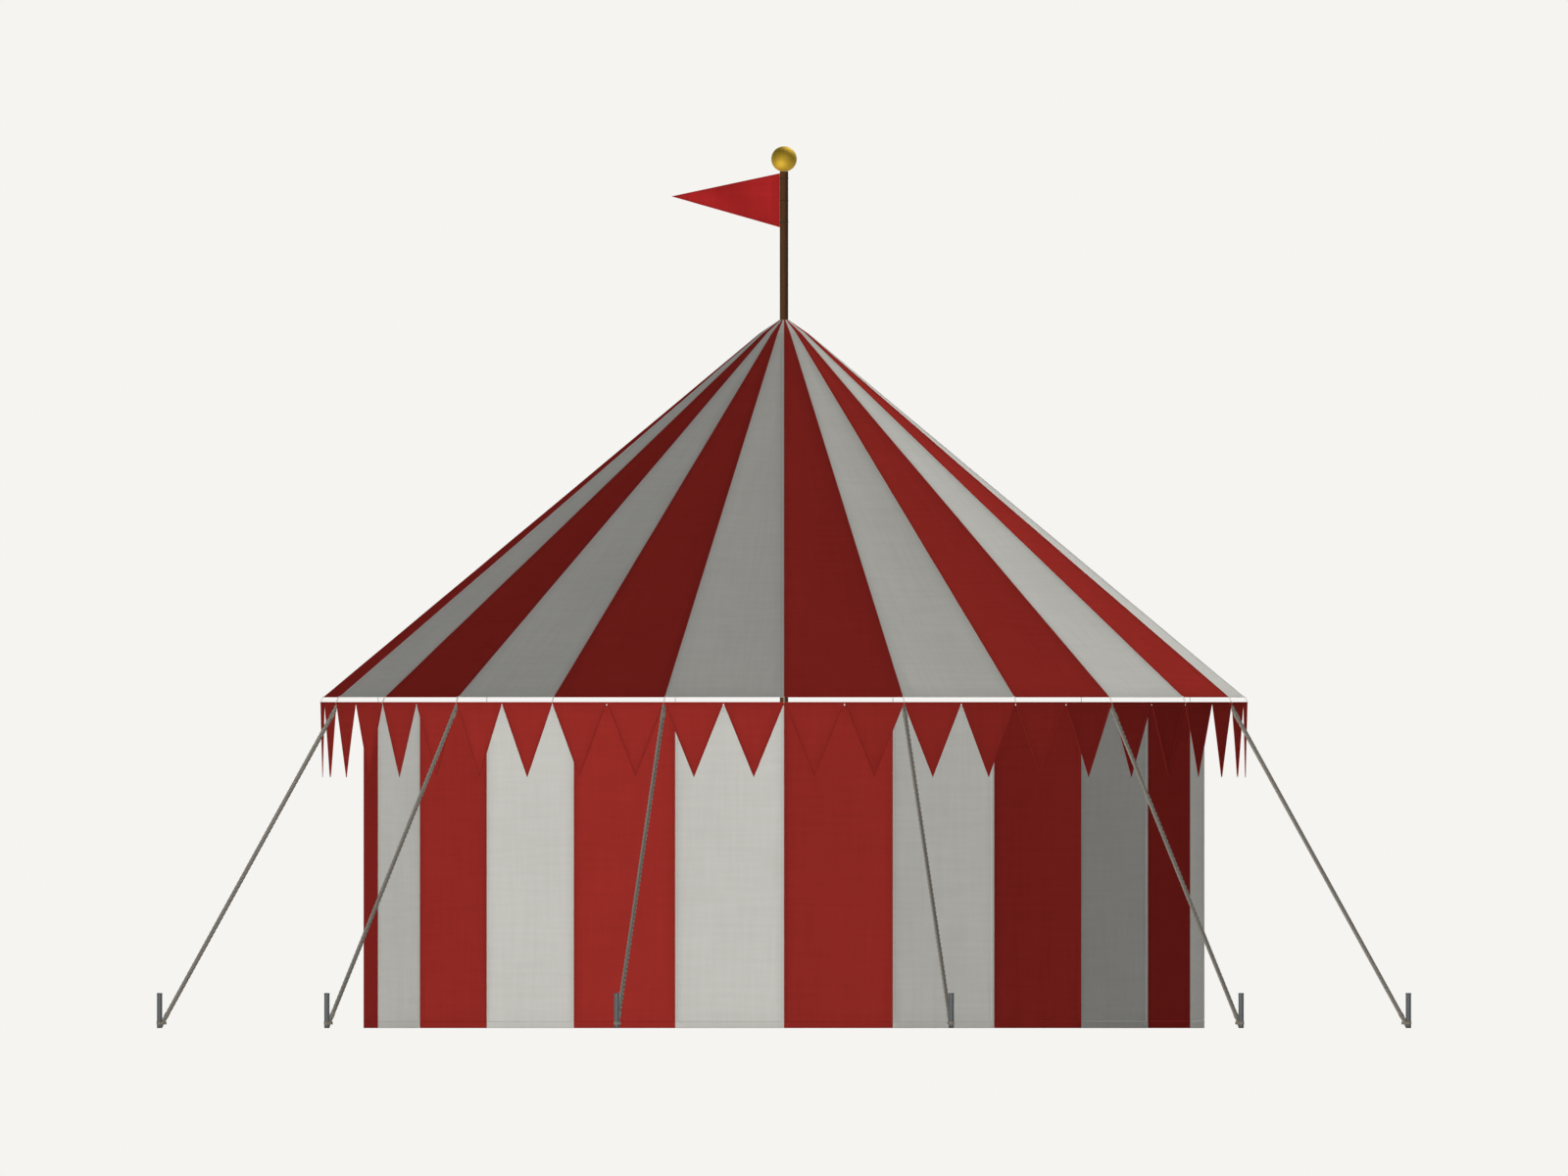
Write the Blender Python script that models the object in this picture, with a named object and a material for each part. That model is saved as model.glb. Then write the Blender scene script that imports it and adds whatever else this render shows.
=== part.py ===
"""A round medieval pavilion: a striped canvas roof and wall round one wooden pole, with a dagged
valance, twelve guy ropes to steel stakes, a gilded ball and a pennon.

Metres, +Z up. The origin is the foot of the pole, on the ground. A bearing is counted about the
pole from the front (-Y) towards +X, so a point at bearing b and radius r is (r sin b, -r cos b).
"""
import math

import bmesh
import bpy
from mathutils import Matrix, Vector

# Cloth and clearances
CLOTH = 0.003               # canvas, doubled at its seams
GAP = 0.0003                # clearance between touching pieces

# Round plan: each stripe is one flat panel, and two stripes make a section
SECTIONS = 12
STRIPES_PER_SECTION = 2
SECTION_TURN = math.tau / SECTIONS

# Wall, standing on the ground and tied up to the roof at each section's middle seam
WALL_RADIUS = 2.500         # pole to the outer corner at a seam
WALL_HEIGHT = 1.919
TIE_WIDTH = 0.016           # cord that ties the wall's top to the roof

# Roof, from the eave up to a flatter crown round the pole
EAVE_RADIUS = 2.739
EAVE_HEIGHT = 1.9685
CROWN_RADIUS = 0.146
CROWN_HEIGHT = 4.131
COLLAR_RADIUS = 0.0258
COLLAR_HEIGHT = 4.212

# Valance: a ring of pointed dags on a narrow head tape, hung under the eave on short loops
DAGS = 48
VALANCE_RADIUS = 2.7565     # pole to the outer corner between two dags
VALANCE_TOP = 1.939
VALANCE_TIP = 1.491
HEAD_TAPE = 0.008           # height of the tape that carries the dags
LOOPS = 24
LOOP_WIDTH = 0.010
GUSSET_DEPTH = 0.036        # patch below the tape that takes a guy rope

# Centre pole with its ball and pennon
POLE_RADIUS = 0.025
POLE_SIDES = 24
BALL_RADIUS = 0.0758
BALL_CENTRE = 5.168
BALL_SEAT_RADIUS = 0.020    # flat under the ball where it sits on the pole
PENNON_TOP = 5.083
PENNON_BOTTOM = 4.762
PENNON_TIP_HEIGHT = 4.946
PENNON_REACH = 0.670        # pole's axis to the tip

# Guy ropes and stakes, one at each section's middle seam
ROPE_RADIUS = 0.013
ROPE_SIDES = 12
ROPE_TOP_HEIGHT = 1.905     # middle of the rope where it meets the valance
STAKE_RING = 3.844          # pole to a stake's axis
STAKE_RADIUS = 0.016
STAKE_HEIGHT = 0.209
STAKE_SIDES = 16
STAKE_EDGE = 0.003          # rounding round the stake's head

# Colours, as sRGB hex
RED_CANVAS = "A62A22"
WHITE_CANVAS = "D8D5CC"
PENNON_RED = "A3241F"
HEMP = "8F8A7F"
ASH_WOOD = "5B3F22"
GILDING = "D4AF37"
STEEL = "8A8C8E"


def material(name, colour, roughness, metallic=0.0):
    """A plain Principled BSDF in one sRGB colour."""
    finish = bpy.data.materials.new(name)
    finish.use_nodes = True
    shader = finish.node_tree.nodes["Principled BSDF"]
    channels = [int(colour[place:place + 2], 16) / 255 for place in (0, 2, 4)]
    linear = [c / 12.92 if c <= 0.04045 else ((c + 0.055) / 1.055) ** 2.4 for c in channels]
    shader.inputs["Base Color"].default_value = (*linear, 1.0)
    shader.inputs["Roughness"].default_value = roughness
    shader.inputs["Metallic"].default_value = metallic
    return finish


def add_piece(name, bm, finishes, smooth_angle=None):
    """Turn a finished bmesh into a named object with its materials."""
    bmesh.ops.recalc_face_normals(bm, faces=bm.faces)
    mesh = bpy.data.meshes.new(name)
    bm.to_mesh(mesh)
    bm.free()
    for finish in finishes:
        mesh.materials.append(finish)
    if smooth_angle is not None:
        mesh.shade_smooth()
        mesh.set_sharp_from_angle(angle=smooth_angle)
    piece = bpy.data.objects.new(name, mesh)
    bpy.context.collection.objects.link(piece)
    return piece


def outward(bearing):
    """Unit vector pointing away from the pole at a bearing."""
    return Vector((math.sin(bearing), -math.cos(bearing), 0))


def sideways(bearing):
    """Unit vector pointing round the pole, towards larger bearings."""
    return Vector((math.cos(bearing), math.sin(bearing), 0))


def turned_section(outline, start):
    """A closed outline of (radius, height) turned round the pole, one flat step for each stripe.

    Both ends stand back by half a clearance from the next sections.
    """
    bm = bmesh.new()
    first = outward(start)
    corners = [bm.verts.new(first * radius + Vector((0, 0, height))) for radius, height in outline]
    bm.faces.new(corners)
    bmesh.ops.spin(
        bm,
        geom=bm.verts[:] + bm.edges[:] + bm.faces[:],
        axis=(0, 0, 1),
        cent=(0, 0, 0),
        angle=SECTION_TURN,
        steps=STRIPES_PER_SECTION,
    )
    end = start + SECTION_TURN
    for bearing, inwards in ((start, sideways(start)), (end, -sideways(end))):
        on_end = [v for v in bm.verts if abs(v.co.dot(sideways(bearing))) < GAP / 10]
        bmesh.ops.translate(bm, verts=on_end, vec=inwards * GAP / 2)
    return bm


def colour_stripes(bm, middle):
    """Give the first stripe of a section the first material and the second stripe the second."""
    for face in bm.faces:
        face.material_index = int(face.calc_center_median().dot(sideways(middle)) > 0)


def roof_underside(radius):
    """Height of the roof's underside at a seam, at a distance from the pole."""
    pitch = (CROWN_HEIGHT - EAVE_HEIGHT) / (EAVE_RADIUS - CROWN_RADIUS)
    return EAVE_HEIGHT + (EAVE_RADIUS - radius) * pitch - cloth_drop(pitch)


def cloth_drop(pitch):
    """Thickness of sloping cloth, measured straight down."""
    return CLOTH * math.hypot(1, pitch)


def build_roof(red, white):
    """Twelve sections of two gores each, from the eave to the crown."""
    pitch = (CROWN_HEIGHT - EAVE_HEIGHT) / (EAVE_RADIUS - CROWN_RADIUS)
    drop = cloth_drop(pitch)
    outline = [
        (EAVE_RADIUS, EAVE_HEIGHT),
        (CROWN_RADIUS, CROWN_HEIGHT),
        (COLLAR_RADIUS, COLLAR_HEIGHT),
        (COLLAR_RADIUS, COLLAR_HEIGHT - drop),
        (CROWN_RADIUS, CROWN_HEIGHT - drop),
        (EAVE_RADIUS, EAVE_HEIGHT - drop),
    ]
    for number in range(SECTIONS):
        start = number * SECTION_TURN
        bm = turned_section(outline, start)
        colour_stripes(bm, start + SECTION_TURN / 2)
        add_piece(f"roof_section_{number + 1:02d}", bm, (red, white))


def build_wall(red, white):
    """Twelve sections of two panels each, with a tie at the middle seam up to the roof."""
    outline = [
        (WALL_RADIUS, 0),
        (WALL_RADIUS, WALL_HEIGHT),
        (WALL_RADIUS - CLOTH, WALL_HEIGHT),
        (WALL_RADIUS - CLOTH, 0),
    ]
    tie_height = roof_underside(WALL_RADIUS) - GAP - WALL_HEIGHT
    for number in range(SECTIONS):
        start = number * SECTION_TURN
        middle = start + SECTION_TURN / 2
        bm = turned_section(outline, start)
        for side in (-1, 1):
            bmesh.ops.bisect_plane(
                bm,
                geom=bm.verts[:] + bm.edges[:] + bm.faces[:],
                plane_co=sideways(middle) * side * TIE_WIDTH / 2,
                plane_no=sideways(middle),
            )
        tie_feet = [
            face for face in bm.faces
            if all(v.co.z > WALL_HEIGHT - GAP for v in face.verts)
            and abs(face.calc_center_median().dot(sideways(middle))) < TIE_WIDTH / 2
        ]
        raised = bmesh.ops.extrude_face_region(bm, geom=tie_feet)["geom"]
        bmesh.ops.delete(bm, geom=tie_feet, context="FACES_ONLY")
        bmesh.ops.translate(
            bm,
            verts=[part for part in raised if isinstance(part, bmesh.types.BMVert)],
            vec=(0, 0, tie_height),
        )
        colour_stripes(bm, middle)
        add_piece(f"wall_section_{number + 1:02d}", bm, (red, white))


def build_valance(red):
    """One ring: head tape, dags below it, loops above it and gussets where the guys pull."""
    bm = bmesh.new()
    dag_turn = math.tau / DAGS
    tape_bottom = VALANCE_TOP - HEAD_TAPE
    start = outward(0) * VALANCE_RADIUS
    low = bm.verts.new(start + Vector((0, 0, tape_bottom)))
    high = bm.verts.new(start + Vector((0, 0, VALANCE_TOP)))
    bm.edges.new((low, high))
    bmesh.ops.spin(
        bm,
        geom=bm.verts[:] + bm.edges[:],
        axis=(0, 0, 1),
        cent=(0, 0, 0),
        angle=math.tau,
        steps=DAGS,
        use_merge=True,
    )
    bmesh.ops.remove_doubles(bm, verts=bm.verts, dist=GAP)

    # Each dag is the tape's lower edge drawn down and merged to a point
    lower_edges = [e for e in bm.edges if all(abs(v.co.z - tape_bottom) < GAP for v in e.verts)]
    for edge in lower_edges:
        middle = (edge.verts[0].co + edge.verts[1].co) / 2
        drawn = bmesh.ops.extrude_edge_only(bm, edges=[edge])["geom"]
        tip = [part for part in drawn if isinstance(part, bmesh.types.BMVert)]
        bmesh.ops.pointmerge(bm, verts=tip, merge_co=(middle.x, middle.y, VALANCE_TIP))

    # A gusset closes the top of the notch between two dags at each guy rope
    for number in range(SECTIONS):
        bearing = (number + 0.5) * SECTION_TURN
        notch_co = outward(bearing) * VALANCE_RADIUS + Vector((0, 0, tape_bottom))
        notch = min(bm.verts, key=lambda v: (v.co - notch_co).length)
        dag_sides = [e for e in notch.link_edges if e.other_vert(notch).co.z < tape_bottom - GAP]
        foot = bm.verts.new(notch_co - Vector((0, 0, GUSSET_DEPTH)))
        share = GUSSET_DEPTH / (tape_bottom - VALANCE_TIP)
        for dag_side in dag_sides:
            split = bmesh.utils.edge_split(dag_side, notch, share)[1]
            bm.faces.new((notch, split, foot))

    # A loop rises from the tape at every other corner and leans in under the eave
    for number in range(LOOPS):
        bearing = number * math.tau / LOOPS
        corner_co = outward(bearing) * VALANCE_RADIUS + Vector((0, 0, VALANCE_TOP))
        corner = min(bm.verts, key=lambda v: (v.co - corner_co).length)
        top_edges = [e for e in corner.link_edges if abs(e.other_vert(corner).co.z - VALANCE_TOP) < GAP]
        feet = []
        for edge in top_edges:
            share = LOOP_WIDTH / 2 / edge.calc_length()
            feet.append(bmesh.utils.edge_split(edge, corner, share)[1])
        loop_edges = [bm.edges.get((corner, foot)) for foot in feet]
        raised = bmesh.ops.extrude_edge_only(bm, edges=loop_edges)["geom"]
        loop_top = [part for part in raised if isinstance(part, bmesh.types.BMVert)]
        lean = outward(bearing) * (EAVE_RADIUS - GAP - VALANCE_RADIUS)
        rise = roof_underside(EAVE_RADIUS) - GAP - VALANCE_TOP
        bmesh.ops.translate(bm, verts=loop_top, vec=lean + Vector((0, 0, rise)))

    piece = add_piece("valance", bm, (red,))
    thickness = piece.modifiers.new("canvas thickness", "SOLIDIFY")
    thickness.thickness = CLOTH
    thickness.offset = -1


def build_pole(wood, gilt, cloth):
    """The pole from the ground to the ball, the ball on its top and the pennon at its side."""
    seat_drop = math.sqrt(BALL_RADIUS ** 2 - BALL_SEAT_RADIUS ** 2)
    pole_top = BALL_CENTRE - seat_drop - GAP
    bm = bmesh.new()
    bmesh.ops.create_cone(
        bm,
        cap_ends=True,
        segments=POLE_SIDES,
        radius1=POLE_RADIUS,
        radius2=POLE_RADIUS,
        depth=pole_top,
        matrix=Matrix.Translation((0, 0, pole_top / 2)),
    )
    add_piece("centre_pole", bm, (wood,), smooth_angle=math.radians(40))

    bm = bmesh.new()
    bmesh.ops.create_uvsphere(
        bm,
        u_segments=24,
        v_segments=14,
        radius=BALL_RADIUS,
        matrix=Matrix.Translation((0, 0, BALL_CENTRE)),
    )
    cut = bmesh.ops.bisect_plane(
        bm,
        geom=bm.verts[:] + bm.edges[:] + bm.faces[:],
        plane_co=(0, 0, BALL_CENTRE - seat_drop),
        plane_no=(0, 0, 1),
        clear_inner=True,
    )["geom_cut"]
    bmesh.ops.holes_fill(bm, edges=[part for part in cut if isinstance(part, bmesh.types.BMEdge)])
    add_piece("finial_ball", bm, (gilt,), smooth_angle=math.radians(40))

    bm = bmesh.new()
    hoist = -(POLE_RADIUS + GAP)
    corners = [
        bm.verts.new((hoist, CLOTH / 2, PENNON_TOP)),
        bm.verts.new((hoist, CLOTH / 2, PENNON_BOTTOM)),
        bm.verts.new((-PENNON_REACH, CLOTH / 2, PENNON_TIP_HEIGHT)),
    ]
    front = bm.faces.new(corners)
    back = bmesh.ops.extrude_face_region(bm, geom=[front])["geom"]
    bmesh.ops.translate(
        bm,
        verts=[part for part in back if isinstance(part, bmesh.types.BMVert)],
        vec=(0, -CLOTH, 0),
    )
    add_piece("pennon", bm, (cloth,))


def build_guys(hemp, steel):
    """Twelve straight ropes from the valance's gussets to the feet of twelve upright stakes."""
    top_radius = VALANCE_RADIUS + GAP
    foot_radius = STAKE_RING - STAKE_RADIUS - GAP
    fall = ROPE_TOP_HEIGHT / (STAKE_RING - top_radius)
    steepness = math.hypot(1, fall)
    for number in range(SECTIONS):
        bearing = (number + 0.5) * SECTION_TURN
        turn = Matrix.Rotation(bearing, 4, "Z")

        # The rope's end is cut upright, so a round rope shows an ellipse there
        bm = bmesh.new()
        bmesh.ops.create_circle(
            bm,
            cap_ends=True,
            segments=ROPE_SIDES,
            radius=ROPE_RADIUS,
            matrix=Matrix.Rotation(math.radians(90), 4, "X"),
        )
        bmesh.ops.scale(bm, verts=bm.verts, vec=(1, 1, steepness))
        bmesh.ops.translate(bm, verts=bm.verts, vec=(0, -top_radius, ROPE_TOP_HEIGHT))
        run = foot_radius - top_radius
        lower = bmesh.ops.extrude_face_region(bm, geom=bm.faces[:])["geom"]
        bmesh.ops.translate(
            bm,
            verts=[part for part in lower if isinstance(part, bmesh.types.BMVert)],
            vec=(0, -run, -run * fall),
        )
        bmesh.ops.rotate(bm, verts=bm.verts, cent=(0, 0, 0), matrix=turn)
        add_piece(f"guy_rope_{number + 1:02d}", bm, (hemp,), smooth_angle=math.radians(40))

        bm = bmesh.new()
        bmesh.ops.create_cone(
            bm,
            cap_ends=True,
            segments=STAKE_SIDES,
            radius1=STAKE_RADIUS,
            radius2=STAKE_RADIUS,
            depth=STAKE_HEIGHT,
            matrix=turn @ Matrix.Translation((0, -STAKE_RING, STAKE_HEIGHT / 2)),
        )
        head_edges = [e for e in bm.edges if all(v.co.z > STAKE_HEIGHT - GAP for v in e.verts)]
        bmesh.ops.bevel(
            bm,
            geom=head_edges,
            offset=STAKE_EDGE,
            affect="EDGES",
            segments=1,
            profile=0.5,
            material=-1,
        )
        add_piece(f"stake_{number + 1:02d}", bm, (steel,), smooth_angle=math.radians(40))


def main():
    for existing in list(bpy.data.objects):
        bpy.data.objects.remove(existing)
    red = material("red canvas", RED_CANVAS, 0.85)
    white = material("undyed canvas", WHITE_CANVAS, 0.85)
    build_roof(red, white)
    build_wall(red, white)
    build_valance(red)
    build_pole(
        material("ash wood", ASH_WOOD, 0.6),
        material("gilding", GILDING, 0.3, metallic=1.0),
        material("pennon cloth", PENNON_RED, 0.8),
    )
    build_guys(
        material("hemp rope", HEMP, 0.9),
        material("steel", STEEL, 0.45, metallic=1.0),
    )


main()
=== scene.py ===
# %% [markdown]
# A striped round pavilion.
#
# The real tent is a round canvas roof and wall on one ash pole, in red and undyed stripes, with a ring of
# pointed dags under the eave, twelve guy ropes to steel stakes, a gilded ball and a pennon. The solids that
# carry it are loaded first and never moved. Every cell after that makes one piece or one finish over them.
# Lengths are in metres. A bearing is counted about the pole from the front (-Y) towards +X.

# %% The frame
import math
import random

import bmesh
import bpy
from mathutils import Matrix, Vector, noise


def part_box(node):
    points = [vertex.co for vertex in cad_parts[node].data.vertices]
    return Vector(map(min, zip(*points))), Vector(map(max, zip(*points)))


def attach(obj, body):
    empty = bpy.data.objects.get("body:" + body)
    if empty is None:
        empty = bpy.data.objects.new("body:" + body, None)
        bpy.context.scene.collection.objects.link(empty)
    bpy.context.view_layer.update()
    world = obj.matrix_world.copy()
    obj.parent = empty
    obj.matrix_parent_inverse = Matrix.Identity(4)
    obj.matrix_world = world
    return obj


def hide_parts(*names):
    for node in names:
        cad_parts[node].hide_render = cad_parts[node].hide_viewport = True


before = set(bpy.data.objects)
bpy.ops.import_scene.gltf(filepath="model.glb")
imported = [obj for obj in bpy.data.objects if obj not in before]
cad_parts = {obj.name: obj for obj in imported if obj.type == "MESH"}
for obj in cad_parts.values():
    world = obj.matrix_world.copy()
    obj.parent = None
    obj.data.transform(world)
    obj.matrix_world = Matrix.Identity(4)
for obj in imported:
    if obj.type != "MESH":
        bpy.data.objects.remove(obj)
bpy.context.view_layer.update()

print("nodes in the frame:", len(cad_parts))

# %% [markdown]
# Directions about the pole.
#
# Everything on a round tent is placed by a bearing and a distance from the pole. Two unit vectors are enough:
# one points away from the pole and one points round it.

# %% Directions
def outward(bearing):
    """Unit vector pointing away from the pole."""
    return Vector((math.sin(bearing), -math.cos(bearing), 0))


def sideways(bearing):
    """Unit vector pointing round the pole, towards larger bearings."""
    return Vector((math.cos(bearing), math.sin(bearing), 0))


def lift(height):
    """Vector straight up to a height."""
    return Vector((0, 0, height))


print("the front is at", tuple(outward(0)), "and the way round from there", tuple(sideways(0)))

# %% [markdown]
# Driving sizes.
#
# The frame already knows how far each solid reaches, so most sizes are read from it: the first roof section
# starts at the front seam, where its lowest Y is the eave's radius. Only what a box can't tell is typed here,
# with the values that the solids were drawn with.

# %% Sizes
STRIPES = 24
STRIPE_TURN = math.tau / STRIPES
GUYS = 12
DAGS = 48
TOUCHING = 0.0001           # points closer than this are one
guy_bearings = [(number + 0.5) * math.tau / GUYS for number in range(GUYS)]

roof_low, roof_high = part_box("roof_section_01")
EAVE_RADIUS = -roof_low.y
EAVE_HEIGHT = 1.9685
CROWN_RADIUS = 0.146        # where the roof turns flatter
CROWN_HEIGHT = 4.131
COLLAR_RADIUS = 0.0258      # the roof's upper edge, round the pole
COLLAR_HEIGHT = roof_high.z

WALL_RADIUS = -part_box("wall_section_01")[0].y
WALL_HEIGHT = 1.919

valance_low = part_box("valance")[0]
VALANCE_RADIUS = -valance_low.y
VALANCE_TOP = 1.939
VALANCE_TIP = valance_low.z
HEAD_TAPE = 0.008           # height of the strip that carries the dags

pole_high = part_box("centre_pole")[1]
POLE_RADIUS = pole_high.x
POLE_TOP = pole_high.z
print(f"eave {EAVE_RADIUS:.4f}, wall {WALL_RADIUS:.4f}, valance {VALANCE_RADIUS:.4f}, pole {POLE_RADIUS:.4f}")

# %% [markdown]
# The camera.
#
# In the picture upright lines are upright, near and far ropes fall exactly behind each other and daylight
# shows through the whole width of the gap under the eave. No lens does that: it takes a level orthographic
# camera, which only needs the width that it sees. Its distance doesn't matter. It stands a little above the
# middle of the picture and is shifted down by as much, which leaves more of the picture for the ground when
# the tent is seen from above.

# %% Camera
VIEW_WIDTH = 9.324          # of the world, across the picture
VIEW_CENTRE = 2.617         # height in the middle of the picture
CAMERA_HEIGHT = 3.195
CAMERA_DISTANCE = 20.0

camera_data = bpy.data.cameras.new("camera")
camera_data.type = "ORTHO"
camera_data.ortho_scale = VIEW_WIDTH
camera_data.shift_y = (VIEW_CENTRE - CAMERA_HEIGHT) / VIEW_WIDTH
camera_data.clip_end = 100
camera = bpy.data.objects.new("camera", camera_data)
camera.location = (0, -CAMERA_DISTANCE, CAMERA_HEIGHT)
camera.rotation_euler = (math.radians(90), 0, 0)
bpy.context.collection.objects.link(camera)
bpy.context.scene.camera = camera
print(f"shift {camera_data.shift_y:.3f} of the picture's width")

# %% [markdown]
# Colours and nodes.
#
# A colour is picked in sRGB, as any paint program shows it, but a shader works with linear light, so one
# function converts it. Another adds a node, sets it and wires it, which keeps each finish short to read. A
# node can have several sockets of one name, one for each kind of value, of which only some are in use: those
# are the ones that a name or a whole node stands for here. Many values are brought from one range to another
# by a Map Range node, and a small function fills in the two ends of a range.

# %% Colour and node helpers
def linear(hex_colour):
    """The linear colour, with full alpha, of an sRGB hex value."""
    levels = [int(hex_colour[place:place + 2], 16) / 255 for place in (0, 2, 4)]
    light = [
        level / 12.92 if level <= 0.04045 else ((level + 0.055) / 1.055) ** 2.4
        for level in levels
    ]
    return (*light, 1.0)


def grey(share):
    """The grey, with full alpha, that sends back a share of the light."""
    return (share, share, share, 1.0)


def add_node(tree, kind, inputs=None, **settings):
    """Add a node, give it its settings, and fill each input with a value or a link.

    An input is found by its name among those in use, or by its number. A node that is given as a value
    stands for the first of its outputs in use.
    """
    made = tree.nodes.new("ShaderNode" + kind)
    for name, value in settings.items():
        setattr(made, name, value)
    in_use = {socket.name: socket for socket in made.inputs if socket.enabled}
    for name, value in (inputs or {}).items():
        socket = made.inputs[name] if isinstance(name, int) else in_use[name]
        if isinstance(value, bpy.types.Node):
            value = next(output for output in value.outputs if output.enabled)
        if isinstance(value, bpy.types.NodeSocket):
            tree.links.new(value, socket)
        else:
            socket.default_value = value
    return made


def ends(side, pair):
    """Inputs of a Map Range node for the two ends of the range on one side, From or To."""
    return {side + " Min": pair[0], side + " Max": pair[1]}


def new_finish(name):
    """A material whose node tree is still empty."""
    finish = bpy.data.materials.new(name)
    finish.use_nodes = True
    finish.node_tree.nodes.clear()
    return finish, finish.node_tree


print(f"grey 808080 sends back {linear('808080')[0]:.3f} of the light")

# %% [markdown]
# Surroundings and light.
#
# The tent stands in a pale, shadowless studio. Its stripes are lit like flat paper facets: a large soft key
# comes from the front left and below, as light bounced up from a bright floor would, a second one, about as
# strong, comes from above and behind on the right, and two weak fills open up the front and the back.
# Suns are used, since all facets of one bearing then get one shade. They cast no shadows, as light from large
# screens all round would cast next to none. Only the faint light of the world is weaker where pieces stand
# close together. For the camera the world is as pale as the backdrop, and metal mirrors a dimmer one.

# %% World and lights
BACKDROP = "F5F4F1"
AMBIENT = 0.020             # the light that reaches the canvas from all around
REFLECTED = 0.15            # how bright metal sees it
WHITE_REFLECTANCE = 0.8     # of undyed canvas, against which the lights are set

world = bpy.data.worlds.new("studio")
world.use_nodes = True
bpy.context.scene.world = world
tree = world.node_tree
tree.nodes.clear()
rays = add_node(tree, "LightPath")
ambient = add_node(tree, "Background", {"Color": linear("FFFFFF"), "Strength": AMBIENT})
mirrored = add_node(tree, "Background", {"Color": linear(BACKDROP), "Strength": REFLECTED})
backdrop = add_node(tree, "Background", {"Color": linear(BACKDROP), "Strength": 1.0})
surroundings = ambient
for ray, glow in (("Is Glossy Ray", mirrored), ("Is Camera Ray", backdrop)):
    surroundings = add_node(tree, "MixShader", {0: rays.outputs[ray], 1: surroundings, 2: glow})
add_node(tree, "OutputWorld", {"Surface": surroundings})
bpy.context.scene.view_settings.view_transform = "Standard"


def add_sun(name, bearing, elevation, shade, softness):
    """Add a sun at a bearing and elevation in degrees and return how much light it sheds on the floor.

    Its shade is how bright it makes white canvas that faces it.
    """
    data = bpy.data.lights.new(name, "SUN")
    data.energy = shade * math.pi / WHITE_REFLECTANCE
    data.angle = math.radians(softness)
    data.use_shadow = False
    sun = bpy.data.objects.new(name, data)
    level = outward(math.radians(bearing)) * math.cos(math.radians(elevation))
    towards = level + lift(math.sin(math.radians(elevation)))
    sun.rotation_euler = towards.to_track_quat("Z", "Y").to_euler()
    bpy.context.collection.objects.link(sun)
    return shade * max(0.0, towards.z) / WHITE_REFLECTANCE


shed_on_floor = [
    add_sun("key from the front left and below", -35.5, -41.5, 0.55, 24),
    add_sun("fill from the front", 1.5, 17, 0.165, 30),
    add_sun("light from behind on the right", 145, 47, 0.605, 24),
    add_sun("fill from behind", 188, -5, 0.20, 30),
]
light_on_floor = AMBIENT + sum(shed_on_floor)
print(f"{len(shed_on_floor)} suns, light falling on the floor: {light_on_floor:.3f}")

# %% [markdown]
# The floor.
#
# A plain floor should carry a faint shadow and then vanish into the backdrop. It gives off the backdrop's
# own colour, less what a thin diffuse coat over it sends back. The coat catches the shadow and fades out well
# inside the rim. The floor throws no shadow of its own, so the key can shine up past it, and it bounces no
# light onto the cloth.

# %% Floor
FLOOR_RADIUS = 12.0
FLOOR_SIDES = 96
COAT_FADES = (5.0, 9.5)     # radii between which the diffuse coat fades out
COAT = 0.10                 # the coat's reflectance

bm = bmesh.new()
bmesh.ops.create_circle(bm, cap_ends=True, segments=FLOOR_SIDES, radius=FLOOR_RADIUS)
mesh = bpy.data.meshes.new("floor")
bm.to_mesh(mesh)
bm.free()
floor = bpy.data.objects.new("floor", mesh)
bpy.context.collection.objects.link(floor)
floor.visible_shadow = False
floor.visible_diffuse = False

paper, tree = new_finish("matt studio floor")
pale = linear(BACKDROP)
glow_under_coat = (*[channel - COAT * light_on_floor for channel in pale[:3]], 1.0)
place = add_node(tree, "TexCoord").outputs["Object"]
radius = add_node(tree, "VectorMath", {0: place}, operation="LENGTH")
fade = add_node(tree, "MapRange", {
    "Value": radius,
    **ends("From", COAT_FADES),
}, interpolation_type="SMOOTHSTEP")
coat = add_node(tree, "BsdfDiffuse", {"Color": grey(COAT)})
glow = add_node(tree, "Emission", {"Color": glow_under_coat})
near = add_node(tree, "AddShader", {0: coat, 1: glow})
far = add_node(tree, "Emission", {"Color": pale})
floor_shader = add_node(tree, "MixShader", {0: fade, 1: near, 2: far})
add_node(tree, "OutputMaterial", {"Surface": floor_shader})
mesh.materials.append(paper)
print(f"floor {2 * FLOOR_RADIUS:.0f} m across")

# %% [markdown]
# What the finishes share.
#
# Thick yarns, fibres, scratches and pores are all streaks, which a noise becomes when its space is drawn out
# along one axis. And each finish here ends alike, in one shader that is given a colour, a roughness and a
# relief, so both steps are written once.

# %% Streaks and surface
def streaks(tree, place, per_metre, detail, **settings):
    """Noise with its own number of spots to a metre along each axis."""
    drawn_out = add_node(tree, "Mapping", {"Vector": place, "Scale": per_metre})
    return add_node(tree, "TexNoise", {"Vector": drawn_out, "Scale": 1.0, "Detail": detail}, **settings)


def surface(tree, colour, roughness, height, depth, constants):
    """End a finish with its one shader, whose relief is height times depth, in metres."""
    relief = add_node(tree, "Bump", {"Distance": depth, "Height": height})
    shader = add_node(tree, "BsdfPrincipled", {
        "Base Color": colour,
        "Roughness": roughness,
        "Normal": relief,
        **constants,
    })
    add_node(tree, "OutputMaterial", {"Surface": shader})


print("ready: streaks, and the surface that ends each finish")

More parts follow.
